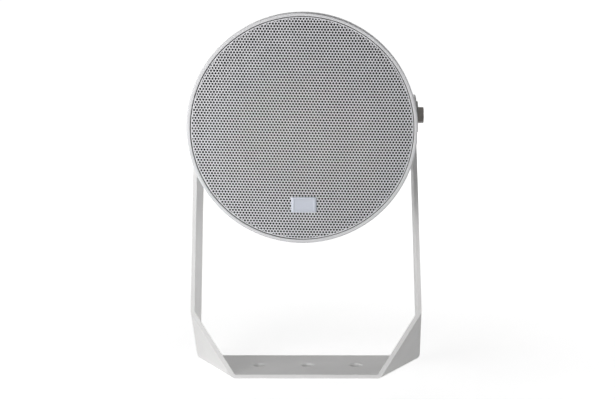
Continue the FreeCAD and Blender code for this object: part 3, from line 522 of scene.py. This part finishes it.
def take(piece: bpy.types.Object) -> None:
    """Make a piece the only selected and the active one.

    Args:
        piece: The piece to work on.
    """
    deselect_all()
    piece.hide_viewport = False
    piece.select_set(True)
    bpy.context.view_layer.objects.active = piece


def apply_modifier(piece: bpy.types.Object, kind: str, **settings: object) -> None:
    """Add a modifier to a piece, set it and apply it.

    Args:
        piece: The piece to shape.
        kind: The modifier's Blender type.
        settings: Its properties, by name.
    """
    take(piece)
    modifier = piece.modifiers.new(kind.lower(), kind)
    for key, value in settings.items():
        setattr(modifier, key, value)
    bpy.ops.object.modifier_apply(modifier=modifier.name)


def break_corners(piece: bpy.types.Object, edge: float, angle: float = 40.0) -> None:
    """Break the corners of a piece.

    Args:
        piece: The piece to shape.
        edge: Width of the broken corner.
        angle: Only corners sharper than this many degrees are broken.
    """
    apply_modifier(piece, "BEVEL", width=edge, segments=2, limit_method="ANGLE",
                   angle_limit=math.radians(angle), use_clamp_overlap=True)


def pick(
    piece: bpy.types.Object,
    element: Element,
    test: Callable[[bpy.types.MeshPolygon | bpy.types.MeshEdge], bool],
) -> None:
    """Select the edges or faces of a piece that a test picks, and enter edit mode on them.

    Args:
        piece: The piece.
        element: What is picked.
        test: Is this one wanted?
    """
    take(piece)
    bpy.ops.object.mode_set(mode="EDIT")
    bpy.ops.mesh.select_mode(type=element.value)
    bpy.ops.mesh.select_all(action="DESELECT")
    bpy.ops.object.mode_set(mode="OBJECT")
    for one in piece.data.polygons if element is Element.FACE else piece.data.edges:
        one.select = test(one)
    bpy.ops.object.mode_set(mode="EDIT")


def settle(piece: bpy.types.Object, angle: float = 35.0) -> bpy.types.Object:
    """Put a piece's place into its mesh and shade it smooth up to an angle.

    Args:
        piece: The finished piece.
        angle: Edges sharper than this many degrees stay sharp.

    Returns:
        The same piece.
    """
    take(piece)
    bpy.ops.object.transform_apply(location=True, rotation=True, scale=True)
    bpy.ops.object.shade_smooth_by_angle(angle=math.radians(angle))
    apply_modifier(piece, "WEIGHTED_NORMAL", mode="FACE_AREA", weight=NEUTRAL_WEIGHT, keep_sharp=True)
    deselect_all()
    return piece


def smoothed(node: str, name: str, flatten: bool = False) -> bpy.types.Object:
    """A copy of a solid in one skin, shaded smooth.

    Args:
        node: The solid to copy.
        name: The copy's name.
        flatten: Are the triangles of each flat face made one face?

    Returns:
        The new piece.
    """
    piece = bpy.data.objects.new(name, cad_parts[node].data.copy())
    bpy.context.scene.collection.objects.link(piece)
    take(piece)
    bpy.ops.object.mode_set(mode="EDIT")
    bpy.ops.mesh.select_all(action="SELECT")
    bpy.ops.mesh.remove_doubles(threshold=WELD)
    if flatten:
        bpy.ops.mesh.dissolve_limited(angle_limit=math.radians(FLAT))
    bpy.ops.object.mode_set(mode="OBJECT")
    return settle(piece)


def softened(node: str, name: str, edge: float) -> bpy.types.Object:
    """A copy of a solid with its corners broken, as paint or a tumbler leaves them.

    Args:
        node: The solid to copy.
        name: The copy's name.
        edge: Width of the broken corner.

    Returns:
        The new piece.
    """
    piece = smoothed(node, name, flatten=True)
    break_corners(piece, edge)
    return settle(piece)


def paint(piece: bpy.types.Object, finish: Finish) -> None:
    """Give a piece one finish all over."""
    piece.data.materials.clear()
    piece.data.materials.append(finish.material())


def paint_solids(finishes: dict[str, Finish]) -> None:
    """Paint solids that are kept as they are.

    Args:
        finishes: Each solid's finish, by the solid's name.
    """
    for node, finish in finishes.items():
        paint(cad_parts[node], finish)
        log.info("%s: kept, in %s", node, finish.name)


def file_away(piece: bpy.types.Object, body: Body, finish: Finish, node: str) -> None:
    """Finish a piece: paint it, set it on its body and hide the solid that it stands for.

    Args:
        piece: The piece.
        body: The body it moves with.
        finish: Its finish.
        node: The solid that it replaces.
    """
    paint(piece, finish)
    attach(piece, body.value)
    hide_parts(node)
    log.info("%s: %d faces, on %s", piece.name, len(piece.data.polygons), body.value)


# The speaker's pieces


class SubAssembly(ABC):
    """Pieces that are modelled and finished together."""

    @abstractmethod
    def build(self) -> None:
        """Model the new pieces."""

    @abstractmethod
    def dress(self) -> None:
        """Finish all the pieces."""


@dataclass
class FoldedBracket(SubAssembly):
    """The folded strip and the washers that stay with it.

    Attributes:
        edge: Width of the strip's broken corners.
        fold: Corners up to this many degrees are folds, and stay.
        rim: Width of the broken rims of its base holes.
        hole_zone: How far the base holes' walls reach from the middle, along each axis.
        upright: How little a hole's wall may slope.
        level: How far a rim's points may lie below its highest.
        washer_edge: Width of the washers' broken corners.
        strip: The finished strip.
        washers: The finished washers.
    """

    edge: float = 0.5 * MM
    fold: float = 50.0
    rim: float = 1.2 * MM
    hole_zone: Triple = (60.0 * MM, 8.0 * MM, 4.0 * MM)
    upright: float = 0.01
    level: float = 0.01 * MM
    washer_edge: float = 0.25 * MM
    strip: bpy.types.Object = field(init=False)
    washers: bpy.types.Object = field(init=False)

    def build(self) -> None:
        """Break the corners of the strip and the washers."""
        self.strip = smoothed("bracket", "bracket_strip", flatten=True)
        self.break_rims()
        break_corners(self.strip, self.edge, self.fold)
        settle(self.strip)
        self.washers = softened("pivot_washers", "pivot_washer_pair", self.washer_edge)

    def dress(self) -> None:
        """Paint the strip and plate the washers."""
        file_away(self.strip, Body.BRACKET, BRACKET_PAINT, "bracket")
        file_away(self.washers, Body.BRACKET, WASHER_STEEL, "pivot_washers")

    def is_hole_wall(self, face: bpy.types.MeshPolygon) -> bool:
        """Is this face part of a base hole's wall?

        Args:
            face: A face of the strip.

        Returns:
            True for an upright four-sided face near the holes.
        """
        upright = abs(face.normal.z) < self.upright
        near = all(abs(place) < reach for place, reach in zip(face.center, self.hole_zone))
        return len(face.vertices) == 4 and upright and near

    def break_rims(self) -> None:
        """Break the upper rims of the base holes."""
        spots = self.strip.data.vertices
        faces = self.strip.data.polygons
        walls = {key for face in faces if self.is_hole_wall(face) for key in face.edge_keys}
        high = max(spots[i].co.z for key in walls for i in key)

        def on_rim(line: bpy.types.MeshEdge) -> bool:
            """Does this edge run along a hole's upper rim?"""
            return line.key in walls and all(spots[i].co.z > high - self.level for i in line.vertices)

        pick(self.strip, Element.EDGE, on_rim)
        bpy.ops.mesh.bevel(offset=self.rim, segments=2, affect="EDGES")
        bpy.ops.object.mode_set(mode="OBJECT")


@dataclass
class PivotHardware(SubAssembly):
    """The bolts and friction discs that turn with the speaker.

    Attributes:
        edge: Width of the bolts' broken corners.
        bolts: The finished bolts.
    """

    edge: float = 0.35 * MM
    bolts: bpy.types.Object = field(init=False)

    def build(self) -> None:
        """Break the bolts' corners."""
        self.bolts = softened("pivot_bolts", "pivot_bolt_pair", self.edge)

    def dress(self) -> None:
        """Plate the bolts and colour the discs."""
        file_away(self.bolts, Body.SPEAKER, BOLT_STEEL, "pivot_bolts")
        paint_solids({"friction_discs": FRICTION_FIBRE})


@dataclass
class Shell(SubAssembly):
    """Housing, front ring and rear cover, with the seals and screws between them.

    Attributes:
        edge: Width of the cover's broken corners.
        inside: How far inside the grille's edge, and in front of its rear, the painted shade starts.
        outward: A face that looks outwards by more than this stays as it is.
        backward: A face that looks back by more than this stays as it is.
        ring: The finished front ring.
        housing: The finished housing.
        cover: The finished rear cover.
    """

    edge: float = 0.4 * MM
    inside: float = 0.5 * MM
    outward: float = 0.1
    backward: float = 0.5
    ring: bpy.types.Object = field(init=False)
    housing: bpy.types.Object = field(init=False)
    cover: bpy.types.Object = field(init=False)

    def build(self) -> None:
        """Smooth the castings and break the cover's corners."""
        self.ring = smoothed("front_ring", "front_ring_painted", flatten=True)
        self.housing = smoothed("housing", "housing_painted")
        self.cover = softened("rear_cover", "rear_cover_painted", self.edge)

    def dress(self) -> None:
        """Paint the castings, with painted shade inside them behind the grille, and finish the seals
        and screws.
        """
        file_away(self.ring, Body.SPEAKER, RING_PAINT, "front_ring")
        file_away(self.housing, Body.SPEAKER, SHELL_PAINT, "housing")
        file_away(self.cover, Body.SPEAKER, SHELL_PAINT, "rear_cover")
        # Painted shade: the castings' insides behind the grille are painted near-black for the shade
        # there.
        for casting in (self.ring, self.housing):
            self.paint_inside_shade(casting)
        paint_solids({
            "ring_seal": SEAL_RUBBER,
            "rear_seal": SEAL_RUBBER,
            "ring_screws": SCREW_BLACK,
            "rear_cover_screws": SCREW_STEEL,
        })

    def paint_inside_shade(self, casting: bpy.types.Object) -> None:
        """Paint shade onto a casting: near-black where its inside would shine through the grille,
        standing in for the shade behind the sheet.

        Args:
            casting: The ring or the housing.
        """
        low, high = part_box("grille")
        axis = (low + high) / 2
        reach = (high.x - low.x) / 2 - self.inside
        casting.data.materials.append(INSIDE_PAINTED_SHADE.material())
        shade_slot = len(casting.data.materials) - 1
        for face in casting.data.polygons:
            out = Vector((face.center.x - axis.x, 0.0, face.center.z - axis.z))
            looks_out = face.normal.dot(out.normalized()) > self.outward
            looks_back = face.normal.y > self.backward
            behind = out.length < reach and face.center.y > high.y - self.inside
            # Painted shade on inside faces behind the grille that look neither out nor back.
            if behind and not looks_out and not looks_back:
                face.material_index = shade_slot


@dataclass
class Driver(SubAssembly):
    """The loudspeaker driver behind the grille.

    Attributes:
        finishes: The finishes of the solids that are kept.
        cone: The finished cone.
        cap: The finished dust cap.
        roll: The finished surround.
    """

    finishes: dict[str, Finish] = field(default_factory=lambda: {
        "driver_gasket": SEAL_RUBBER,
        "driver_basket": BASKET_ENAMEL,
        "driver_screws": SCREW_BLACK,
        "magnet_top_plate": MAGNET_STEEL,
        "magnet": FERRITE,
        "magnet_yoke": MAGNET_STEEL,
        "coil_former": FORMER_FOIL,
        "coil_winding": COPPER_WIRE,
        "spider": SPIDER_CLOTH,
    })
    cone: bpy.types.Object = field(init=False)
    cap: bpy.types.Object = field(init=False)
    roll: bpy.types.Object = field(init=False)

    def build(self) -> None:
        """Smooth what shows through the grille."""
        self.cone = smoothed("cone", "cone_paper")
        self.cap = smoothed("dust_cap", "dust_cap_paper")
        self.roll = smoothed("surround", "surround_roll")

    def dress(self) -> None:
        """Finish the moving parts and the rest."""
        file_away(self.cone, Body.CONE, CONE_PAPER, "cone")
        file_away(self.cap, Body.CONE, CAP_PAPER, "dust_cap")
        file_away(self.roll, Body.SPEAKER, SURROUND_CLOTH, "surround")
        paint_solids(self.finishes)


@dataclass
class RearGear(SubAssembly):
    """Line transformer, terminal block and cable gland at the rear.

    Attributes:
        edge: Width of the gland's broken corners.
        finishes: The finishes of the solids that are kept.
        gland: The finished parts of the gland, by their solids' names.
    """

    edge: float = 0.3 * MM
    finishes: dict[str, Finish] = field(default_factory=lambda: {
        "transformer_core": CORE_STEEL,
        "transformer_winding": WINDING_TAPE,
        "transformer_strap": SCREW_STEEL,
        "transformer_screws": SCREW_STEEL,
        "terminal_block": BLOCK_PLASTIC,
        "gland_locknut": GLAND_PLASTIC,
        "gland_seal": SEAL_RUBBER,
    })
    gland: dict[str, bpy.types.Object] = field(default_factory=dict)

    def build(self) -> None:
        """Break the corners of the gland's outer parts."""
        for node in ("gland_body", "gland_nut"):
            self.gland[node] = softened(node, f"{node}_moulded", self.edge)

    def dress(self) -> None:
        """Finish the gland and the rest."""
        for node, piece in self.gland.items():
            file_away(piece, Body.SPEAKER, GLAND_PLASTIC, node)
        paint_solids(self.finishes)


@dataclass
class BadgePlate(SubAssembly):
    """The bare plate low on the grille: a thin tray with rolled side edges.

    Attributes:
        width: Across.
        height: Up.
        thickness: From the sheet to its front.
        corner: Radius of its corners.
        bend: Corners sharper than this many degrees are rounded.
        lip: Width of its raised edge.
        slope: Width of the slope from that edge to its field.
        dish: Depth of its field below that edge.
        roll: How far its front is drawn in at each side.
        lean: How far the dome tips it, in degrees.
        sharp: Edges sharper than this many degrees stay sharp.
        plate: The finished plate.
    """

    width: float = 21.0 * MM
    height: float = 13.0 * MM
    thickness: float = 1.2 * MM
    corner: float = 0.8 * MM
    bend: float = 60.0
    lip: float = 1.3 * MM
    slope: float = 0.455 * MM
    dish: float = 0.25 * MM
    roll: float = 0.7 * MM
    lean: float = 2.13
    sharp: float = 15.0
    plate: bpy.types.Object = field(init=False)

    def build(self) -> None:
        """Model the plate from a block."""
        low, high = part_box("badge_plate")
        deselect_all()
        bpy.ops.mesh.primitive_cube_add(size=1.0)
        plate = self.plate = bpy.context.object
        plate.name = "badge_plate_bare"
        plate.scale = (self.width, self.thickness, self.height)
        bpy.ops.object.transform_apply(location=False, rotation=False, scale=True)
        apply_modifier(plate, "BEVEL", width=self.corner, segments=3, limit_method="ANGLE",
                       angle_limit=math.radians(self.bend), affect="EDGES")
        front = -self.thickness / 2
        for vertex in plate.data.vertices:
            vertex.co.x -= math.copysign(self.roll, vertex.co.x) * max(0.0, vertex.co.y / front)
        pick(plate, Element.FACE, lambda face: abs(face.center.y - front) < TOUCH)
        bpy.ops.mesh.inset(thickness=self.lip, depth=0.0)
        bpy.ops.mesh.inset(thickness=self.slope, depth=-self.dish)
        bpy.ops.object.mode_set(mode="OBJECT")
        plate.rotation_euler = (math.radians(self.lean), 0.0, 0.0)
        plate.location = (low + high) / 2
        settle(plate, self.sharp)

    def dress(self) -> None:
        """Leave the plate in bare metal."""
        file_away(self.plate, Body.SPEAKER, PLATE_METAL, "badge_plate")


@dataclass
class Grille(SubAssembly):
    """The perforated sheet: round holes in staggered rows, domed and cut to a disc.

    Attributes:
        hole: Diameter of a hole.
        pitch: Distance between holes.
        sides: Corners of a hole's outline.
        turn: How far the rows slope down to the right, in degrees.
        phase: Where the nearest hole lies from the middle, across and up.
        spare: Cells and rows past the disc, in all.
        weld: Points of neighbouring cells closer than this are one.
        rise: Height of the dome.
        thickness: Of the sheet.
        trim: How far its edge stays inside the solid's edge.
        margin: Width of its unpunched edge.
        sink: How far the unpunched edge lies behind the face.
        edge_sides: Corners of the unpunched edge.
        sharp: Edges sharper than this many degrees stay sharp.
        centre: Middle of the disc, from its solid.
        radius: Of the disc, from its solid.
        front: Where the dome's top lies along Y, from its solid.
        sheet: The finished sheet.
    """

    hole: float = 1.88 * MM
    pitch: float = 2.5 * MM
    sides: int = 7
    turn: float = 1.2
    phase: Pair = (0.04 * MM, -1.0 * MM)
    spare: int = 4
    weld: float = 0.01 * MM
    rise: float = 2.5 * MM
    thickness: float = 1.0 * MM
    trim: float = 0.3 * MM
    margin: float = 0.7 * MM
    sink: float = 0.12 * MM
    edge_sides: int = 240
    sharp: float = 40.0
    centre: Vector = field(init=False)
    radius: float = field(init=False)
    front: float = field(init=False)
    sheet: bpy.types.Object = field(init=False)

    def __post_init__(self) -> None:
        """Read the disc's place from its solid."""
        low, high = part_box("grille")
        self.centre = (low + high) / 2
        self.radius = (high.x - low.x) / 2 - self.trim
        self.front = low.y

    def build(self) -> None:
        """Punch, cut and press the sheet, and close its edge."""
        self.sheet = self.cell()
        self.tile()
        self.cut_to_disc()
        self.dome(self.sheet)
        apply_modifier(self.sheet, "SOLIDIFY", thickness=self.thickness, offset=-1.0, use_rim=True)
        edge = self.plain_edge()
        take(self.sheet)
        edge.select_set(True)
        bpy.ops.object.join()
        settle(self.sheet, self.sharp)

    def dress(self) -> None:
        """Paint the sheet."""
        file_away(self.sheet, Body.SPEAKER, GRILLE_PAINT, "grille")

    def corner_reach(self) -> float:
        """How far a hole's corners lie from its middle, for the area of a round hole."""
        part = 2 * math.pi / self.sides
        return self.hole / 2 * math.sqrt(part / math.sin(part))

    def cell(self) -> bpy.types.Object:
        """The metal round two neighbouring holes, as flat six-sided rings.

        Returns:
            The rings, lying flat, the first at the origin.
        """
        deselect_all()
        bpy.ops.mesh.primitive_circle_add(vertices=6, radius=self.pitch / ROOT_3)
        rings = bpy.context.object
        rings.name = "grille_sheet"
        bpy.ops.object.mode_set(mode="EDIT")
        bpy.ops.mesh.primitive_circle_add(vertices=self.sides, radius=self.corner_reach())
        bpy.ops.mesh.select_all(action="SELECT")
        bpy.ops.mesh.bridge_edge_loops()
        bpy.ops.mesh.select_all(action="SELECT")
        bpy.ops.mesh.normals_make_consistent(inside=False)
        bpy.ops.mesh.duplicate()
        bpy.ops.transform.translate(value=(self.pitch / 2, self.pitch * ROOT_3 / 2, 0.0))
        bpy.ops.object.mode_set(mode="OBJECT")
        return rings

    def tile(self) -> None:
        """Repeat the cell over a square, stand it up and turn its rows."""
        row = self.pitch * ROOT_3
        across = 2 * math.ceil(self.radius / self.pitch) + self.spare
        rows = 2 * math.ceil(self.radius / row) + self.spare
        for count, step in ((across, (self.pitch, 0.0, 0.0)), (rows, (0.0, row, 0.0))):
            apply_modifier(self.sheet, "ARRAY", count=count, use_relative_offset=False,
                           use_constant_offset=True, constant_offset_displace=step)
        take(self.sheet)
        bpy.ops.object.mode_set(mode="EDIT")
        bpy.ops.mesh.select_all(action="SELECT")
        bpy.ops.mesh.remove_doubles(threshold=self.weld)
        bpy.ops.mesh.normals_make_consistent(inside=False)
        bpy.ops.object.mode_set(mode="OBJECT")
        middle = Vector((-(across // 2) * self.pitch, -(rows // 2) * row, 0.0))
        slope = Matrix.Rotation(-math.radians(self.turn), 4, "Z")
        self.stand_up(self.sheet, slope @ Matrix.Translation(middle + Vector((*self.phase, 0.0))))

    def stand_up(self, flat: bpy.types.Object, first: Matrix) -> None:
        """Stand a flat mesh up with its face to the front.

        Args:
            flat: The mesh, lying flat at the origin.
            first: The move it makes before it is stood up.
        """
        up = flat.data.polygons[0].normal.z
        flat.data.transform(Matrix.Rotation(math.pi / 2, 4, "X") @ first)
        if up < 0:
            flat.data.flip_normals()

    def plain_edge(self) -> bpy.types.Object:
        """The unpunched edge that closes the outermost holes.

        Returns:
            The edge, in its place just behind the face.
        """
        deselect_all()
        bpy.ops.mesh.primitive_circle_add(vertices=self.edge_sides, radius=self.radius)
        edge = bpy.context.object
        bpy.ops.object.mode_set(mode="EDIT")
        bpy.ops.mesh.primitive_circle_add(vertices=self.edge_sides, radius=self.radius - self.margin)
        bpy.ops.mesh.select_all(action="SELECT")
        bpy.ops.mesh.bridge_edge_loops()
        bpy.ops.object.mode_set(mode="OBJECT")
        self.stand_up(edge, Matrix.Identity(4))
        self.dome(edge, self.sink)
        apply_modifier(edge, "SOLIDIFY", thickness=self.thickness / 2, offset=-1.0, use_rim=True)
        return edge

    def cut_to_disc(self) -> None:
        """Cut the square to the disc, through the holes that its edge meets."""
        spots = self.sheet.data.vertices

        def outside(face: bpy.types.MeshPolygon) -> bool:
            """Does all of this face lie past the edge?"""
            return all(math.hypot(spots[i].co.x, spots[i].co.z) > self.radius for i in face.vertices)

        pick(self.sheet, Element.FACE, outside)
        bpy.ops.mesh.delete(type="FACE")
        bpy.ops.object.mode_set(mode="OBJECT")
        for vertex in self.sheet.data.vertices:
            reach = math.hypot(vertex.co.x, vertex.co.z)
            if reach > self.radius:
                vertex.co.x *= self.radius / reach
                vertex.co.z *= self.radius / reach

    def dome(self, disc: bpy.types.Object, sink: float = 0.0) -> None:
        """Press a disc into the dome and put it in its place.

        Args:
            disc: The flat disc, upright about the origin.
            sink: How far it lies behind the face.
        """
        ball = (self.radius**2 + self.rise**2) / (2 * self.rise)
        for vertex in disc.data.vertices:
            reach = min(math.hypot(vertex.co.x, vertex.co.z), self.radius)
            vertex.co.y = self.front + sink + ball - math.sqrt(ball**2 - reach**2)
            vertex.co.x += self.centre.x
            vertex.co.z += self.centre.z


# Studio


def heading(azimuth: float, elevation: float) -> Vector:
    """The way from the speaker to a place round it.

    Args:
        azimuth: Degrees to the right of the front.
        elevation: Degrees above the horizon.

    Returns:
        A vector of length 1.
    """
    turn, rise = math.radians(azimuth), math.radians(elevation)
    return Vector((math.sin(turn) * math.cos(rise), -math.cos(turn) * math.cos(rise), math.sin(rise)))


@dataclass(frozen=True)
class Softbox:
    """A square studio lamp, aimed at the speaker.

    Attributes:
        name: Where it stands.
        azimuth: Degrees to the right of the front.
        elevation: Degrees above the horizon.
        size: Its side, in metres.
        level: How bright it makes a white card that faces it.
        distance: From the speaker, in metres.
        gloss: Does it show in glossy faces?
    """

    name: str
    azimuth: float
    elevation: float
    size: float
    level: float
    distance: float = 2.0
    gloss: bool = True

    def place(self, target: Vector) -> None:
        """Hang the lamp.

        Args:
            target: The point it is aimed at.
        """
        away = heading(self.azimuth, self.elevation)
        lamp = bpy.data.lights.new(self.name, "AREA")
        lamp.shape = "SQUARE"
        lamp.size = self.size
        lamp.energy = self.level * (math.pi * self.distance) ** 2
        holder = bpy.data.objects.new(self.name, lamp)
        bpy.context.scene.collection.objects.link(holder)
        holder.location = target + away * self.distance
        holder.rotation_euler = (-away).to_track_quat("-Z", "Y").to_euler()
        holder.visible_glossy = self.gloss
        log.info("%s: hung", self.name)


@dataclass
class Studio:
    """Pale floor, white surround, soft lamps and the camera.

    Attributes:
        lamps: The soft lamps.
        target: The point they are aimed at.
        ambient: Level of the light from all round.
        floor_size: Side of the floor, in metres.
        floor_drop: How far the floor lies below the bracket.
        paper: How pale the floor is to the speaker.
        shadow: How pale the floor is to the camera, besides its glow.
        glow: Level that the floor shows by itself, near the speaker and far from it.
        glow_reach: Where the near level ends and the far one starts, in metres.
        azimuth: The camera's place to the right of the front, in degrees.
        elevation: Its place above the pivot's level, in degrees.
        distance: From the pivot, in metres.
        pan: Turn of its view from the pivot, in degrees.
        tilt: Lean of its view from the pivot, in degrees.
        roll: Turn of its frame, in degrees.
        focal: Focal length in pixels of the frame.
        frame_width: Width of the frame in pixels.
        sensor: Width of its sensor, in millimetres.
        clip: How far it sees, in metres.
    """

    lamps: tuple[Softbox, ...] = (
        Softbox("left_front_softbox", -44.0, 0.0, size=0.55, level=0.40, distance=0.9),
        Softbox("front_softbox", -24.0, 4.0, size=0.5, level=0.32, distance=1.4),
        Softbox("left_side_softbox", -85.0, 3.0, size=0.6, level=0.17),
        Softbox("right_front_softbox", 35.0, 10.0, size=0.8, level=0.05),
        Softbox("right_rear_softbox", 120.0, 4.0, size=1.2, level=0.32),
        Softbox("rear_softbox", 180.0, 0.0, size=0.5, level=0.18, gloss=False),
    )
    target: Triple = (0.0, 0.0, 0.15)
    ambient: float = 0.11
    floor_size: float = 60.0
    floor_drop: float = 0.05 * MM
    paper: float = 0.82
    shadow: float = 0.8
    glow: Pair = (0.72, 0.97)
    glow_reach: Pair = (0.15, 0.7)
    azimuth: float = 1.574
    elevation: float = 5.574
    distance: float = 1.4
    pan: float = -0.045
    tilt: float = 3.087
    roll: float = -0.359
    focal: float = 1568.0
    frame_width: float = 615.0
    sensor: float = 36.0
    clip: float = 100.0

    def build(self) -> None:
        """Set up the whole studio."""
        self.lay_floor()
        self.light_world()
        for lamp in self.lamps:
            lamp.place(Vector(self.target))
        self.set_camera()
        bpy.context.scene.view_settings.view_transform = "Standard"

    def lay_floor(self) -> None:
        """Lay a wide pale floor that looks white and keeps a soft shadow."""
        deselect_all()
        bpy.ops.mesh.primitive_plane_add(size=self.floor_size)
        floor = bpy.context.object
        floor.name = "studio_floor"
        floor.location = (0.0, 0.0, -self.floor_drop)
        material = bpy.data.materials.new("floor_paper")
        desk = NodeDesk(material)
        output = desk.add("ShaderNodeOutputMaterial")
        paper = desk.add("ShaderNodeBsdfDiffuse")
        paper.inputs["Color"].default_value = (self.paper, self.paper, self.paper, 1.0)
        shadow = desk.add("ShaderNodeBsdfDiffuse")
        shadow.inputs["Color"].default_value = (self.shadow, self.shadow, self.shadow, 1.0)
        glow = desk.add("ShaderNodeEmission")
        desk.join(self.floor_glow(desk), glow.inputs["Strength"])
        seen = desk.add("ShaderNodeAddShader")
        desk.join(shadow.outputs["BSDF"], seen.inputs[0])
        desk.join(glow.outputs["Emission"], seen.inputs[1])
        desk.show(seen.outputs["Shader"], paper.outputs["BSDF"], output)
        floor.data.materials.append(material)

    def floor_glow(self, desk: NodeDesk) -> bpy.types.NodeSocket:
        """The floor's glow, which eases off near the speaker so that its shadow shows.

        Args:
            desk: The floor's node tree.

        Returns:
            A socket with the strength of the glow.
        """
        reach = desk.add("ShaderNodeVectorMath", operation="LENGTH")
        desk.join(desk.place(), reach.inputs[0])
        return desk.spread(reach.outputs["Value"], *self.glow, *self.glow_reach)

    def light_world(self) -> None:
        """Set up a white surround to look at, which lights the speaker at the ambient level."""
        world = bpy.data.worlds.new("studio_surround")
        bpy.context.scene.world = world
        desk = NodeDesk(world)
        output = desk.add("ShaderNodeOutputWorld")
        soft = desk.add("ShaderNodeBackground")
        white = desk.add("ShaderNodeBackground")
        for light, strength in ((soft, self.ambient), (white, 1.0)):
            light.inputs["Color"].default_value = (1.0, 1.0, 1.0, 1.0)
            light.inputs["Strength"].default_value = strength
        desk.show(white.outputs["Background"], soft.outputs["Background"], output)

    def set_camera(self) -> None:
        """Stand the camera where the photograph was taken from."""
        away = heading(self.azimuth, self.elevation)
        right = (-away).cross(Vector((0.0, 0.0, 1.0))).normalized()
        up = right.cross(-away)
        view = (Matrix.Rotation(math.radians(self.roll), 3, "Z")
                @ Matrix.Rotation(math.radians(self.tilt), 3, "X")
                @ Matrix.Rotation(math.radians(self.pan), 3, "Y")
                @ Matrix((right, -up, -away)))
        turned = Matrix((view[0], -view[1], -view[2])).transposed().to_4x4()
        data = bpy.data.cameras.new("photo_camera")
        data.sensor_fit = "HORIZONTAL"
        data.sensor_width = self.sensor
        data.lens = self.focal / self.frame_width * self.sensor
        data.clip_end = self.clip
        camera = bpy.data.objects.new("photo_camera", data)
        bpy.context.scene.collection.objects.link(camera)
        camera.matrix_world = Matrix.Translation(Vector(PIVOT) + away * self.distance) @ turned
        bpy.context.scene.camera = camera


def main() -> None:
    """Build and dress every sub-assembly in order, then set up the studio."""
    logging.basicConfig(level=logging.INFO, format="%(name)s: %(message)s")
    assemblies: tuple[SubAssembly, ...] = (
        FoldedBracket(), PivotHardware(), Shell(), Driver(), RearGear(), BadgePlate(), Grille(),
    )
    for assembly in assemblies:
        assembly.build()
        assembly.dress()
    Studio().build()


if __name__ == "__main__":
    main()
